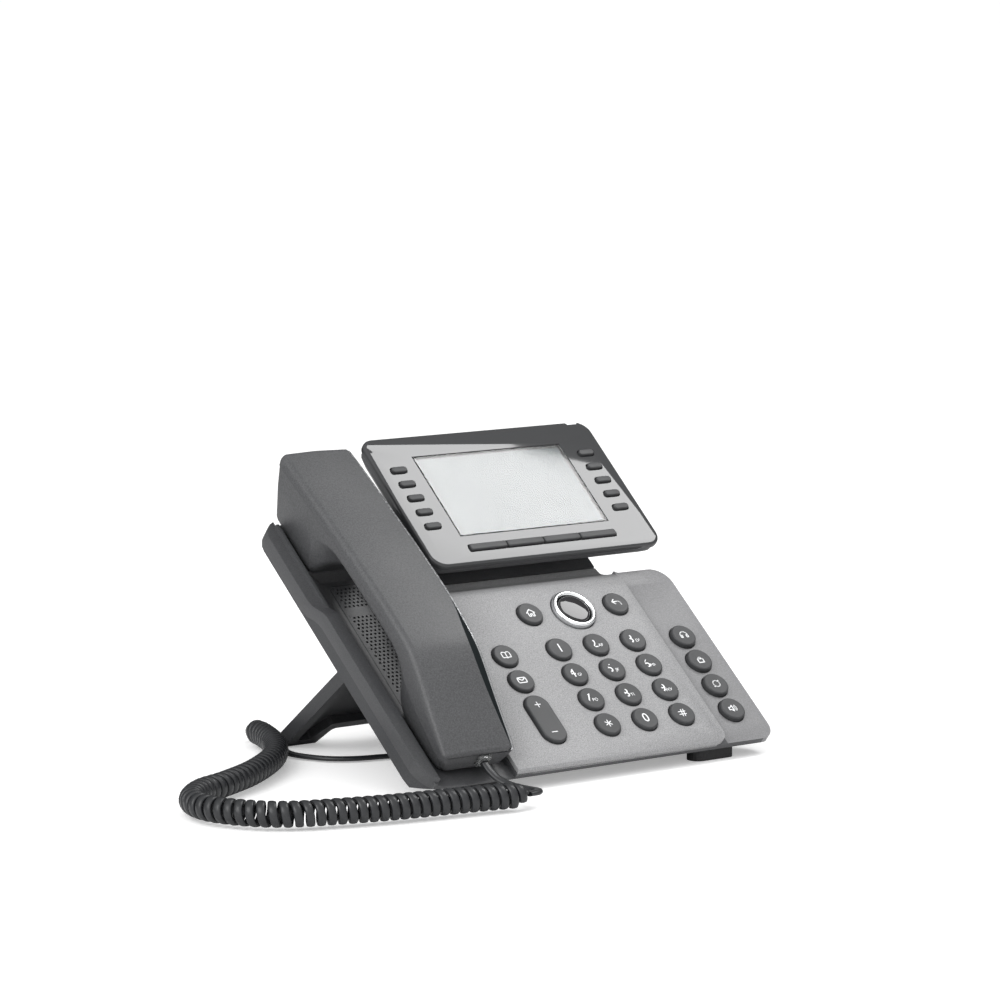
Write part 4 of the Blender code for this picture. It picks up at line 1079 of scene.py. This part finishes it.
def modular_plug(name, body, place):
    """A clear four-way plug with gold contacts and the end of the cord inside. It points along +Y."""
    shell = box_outline(-3.75, 3.75, 0, 11.6, 0.5, 3)
    plug = make(f"{name}_body", prism(shell, 0.0, 6.2), [CLEAR], place)
    soften(plug, 0.25, 2)
    enter(plug, body, [name])
    contacts = bmesh.new()
    for index in range(4):
        x = (index - 1.5) * 1.27
        blade = box_outline(x - 0.2, x + 0.2, 7.4, 10.9)
        add_loft(contacts, layers([(blade, 4.6), (blade, 6.0)]))
    piece(f"{name}_contacts", contacts, [GOLD], body, place=place)
    jacket = prism(box_outline(-2.2, 2.2, -0.4, 6.8, 0.4, 3), 1.7, 4.2)
    piece(f"{name}_cord_end", jacket, [JACKET], body, place=place)


# ---------------------------------------------------------------- carried-over CAD nodes

def keep(node, material, width, segments=2):
    """Show a CAD node as it is, with its own material and rounded edges."""
    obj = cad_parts[node]
    obj.data.materials.clear()
    obj.data.materials.append(material)
    add_bevel(obj, width, segments, 35.0)


# ---------------------------------------------------------------- light, floor and camera

# Half the floor's side, so that its edge lies past the horizon.
FLOOR_SIZE = 60000.0


def seen_white(tree, value, white=1.0):
    """The value for the light that falls on things, and white where the camera looks straight at it."""
    path = tree.nodes.new("ShaderNodeLightPath")
    mix = tree.nodes.new("ShaderNodeMix")
    tree.links.new(path.outputs["Is Camera Ray"], mix.inputs["Factor"])
    tree.links.new(value, mix.inputs["A"])
    mix.inputs["B"].default_value = white
    return mix.outputs["Result"]


def softbox(name, place, target, width, height, power, turn=0.0):
    """An area light, turned about its own axis so that the glass mirrors its edge at a slant."""
    data = bpy.data.lights.new(name, "AREA")
    data.shape = "RECTANGLE"
    data.size, data.size_y = width, height
    data.energy = power
    lamp = bpy.data.objects.new(name, data)
    bpy.context.scene.collection.objects.link(lamp)
    lamp.location = place
    aim = (Vector(target) - Vector(place)).to_track_quat("-Z", "Y")
    lamp.rotation_euler = (aim.to_matrix() @ Matrix.Rotation(math.radians(turn), 3, "Z")).to_euler()


def studio():
    """A soft white surround that is brightest at the upper left, a white floor and two softboxes."""
    world = bpy.data.worlds.new("studio")
    world.use_nodes = True
    tree = world.node_tree
    background = tree.nodes["Background"]
    background.inputs["Color"].default_value = (1.0, 1.0, 1.0, 1.0)
    place = tree.nodes.new("ShaderNodeTexCoord")
    towards = tree.nodes.new("ShaderNodeVectorMath")
    towards.operation = "DOT_PRODUCT"
    towards.inputs[1].default_value = (-0.45, -0.6, 0.66)
    tree.links.new(place.outputs["Generated"], towards.inputs[0])
    dome = remap(tree, towards.outputs["Value"], -0.35, 1.0, 0.08, 1.4)
    tree.links.new(seen_white(tree, dome), background.inputs["Strength"])
    bpy.context.scene.world = world
    floor_material, tree, shader = new_material("white_floor", (0.93, 0.93, 0.93), 0.6)
    drift = blend_colours(tree, noise(tree, 1.5, 1.0), (0.92, 0.92, 0.92), (0.94, 0.94, 0.94))
    tree.links.new(drift, shader.inputs["Base Color"])
    tree.links.new(drift, shader.inputs["Emission Color"])
    dark = tree.nodes.new("ShaderNodeValue").outputs[0]
    dark.default_value = 0.0
    tree.links.new(seen_white(tree, dark, 0.35), shader.inputs["Emission Strength"])
    bm = bmesh.new()
    bmesh.ops.create_grid(bm, x_segments=2, y_segments=2, size=FLOOR_SIZE)
    floor = make("floor", bm, [floor_material], WORLD @ Matrix.Translation((0, 0, -0.05)))
    softbox("key_light", (0.766, -0.143, 1.143), (0.015, -0.126, 0.144), 0.56, 0.4, 5.4, 73.4)
    softbox("left_light", (-1.3, -0.3, 0.9), (0.0, 0.0, 0.05), 0.9, 0.9, 11.0)


def camera():
    """The photograph's viewing angle, from the lower left in front."""
    data = bpy.data.cameras.new("camera")
    data.lens, data.sensor_width = 156.6, 36.0
    right = Vector((0.79712672, -0.60381205, 0.0))
    up = Vector((0.07996291, 0.10556359, 0.99119234))
    back = right.cross(up)
    obj = bpy.data.objects.new("camera", data)
    bpy.context.scene.collection.objects.link(obj)
    turn = Matrix((right, up, back)).transposed().to_4x4()
    obj.matrix_world = Matrix.Translation(Vector((-1352.2, -1782.3, 432.2)) * MM) @ turn
    bpy.context.scene.camera = obj


# ---------------------------------------------------------------- the phone

bpy.context.scene.view_settings.view_transform = "Standard"
camera()
studio()
handset_lead()
curly_cord()
front_housing()
keypad_plate()
grille()
for name, x, s in plate_keys():
    round_key(name, x, s, 0.0)
for name, x, s in strip_keys():
    round_key(name, x, s, STRIP_KEY_TOP)
volume_rocker()
navigation()
handset()
fascia()
screen()
display_keys()
modular_plug("handset_plug", "handset", DECK @ Matrix.Translation((-112.8, -49.2, -2.0)))
base_jack = DECK @ Matrix.Translation((-60.0, 30.0, -40.0)) @ Matrix.Rotation(math.radians(90), 4, "X")
modular_plug("base_plug", "base", base_jack)
keep("base_rear_housing", REAR, 0.6)
keep("rear_stand", REAR, 0.5)
keep("display_rear_cover", HOUSING, 0.5)
keep("display_hinge_shaft", STEEL, 0.3)
keep("main_pcb", BOARD, 0.1, 1)
keep("loudspeaker", STEEL, 0.3)
keep("hook_switch", REAR, 0.4)
keep("nav_actuator", KEYCAP, 0.3)
keep("front_foot_left", RUBBER, 0.6)
keep("front_foot_right", RUBBER, 0.6)
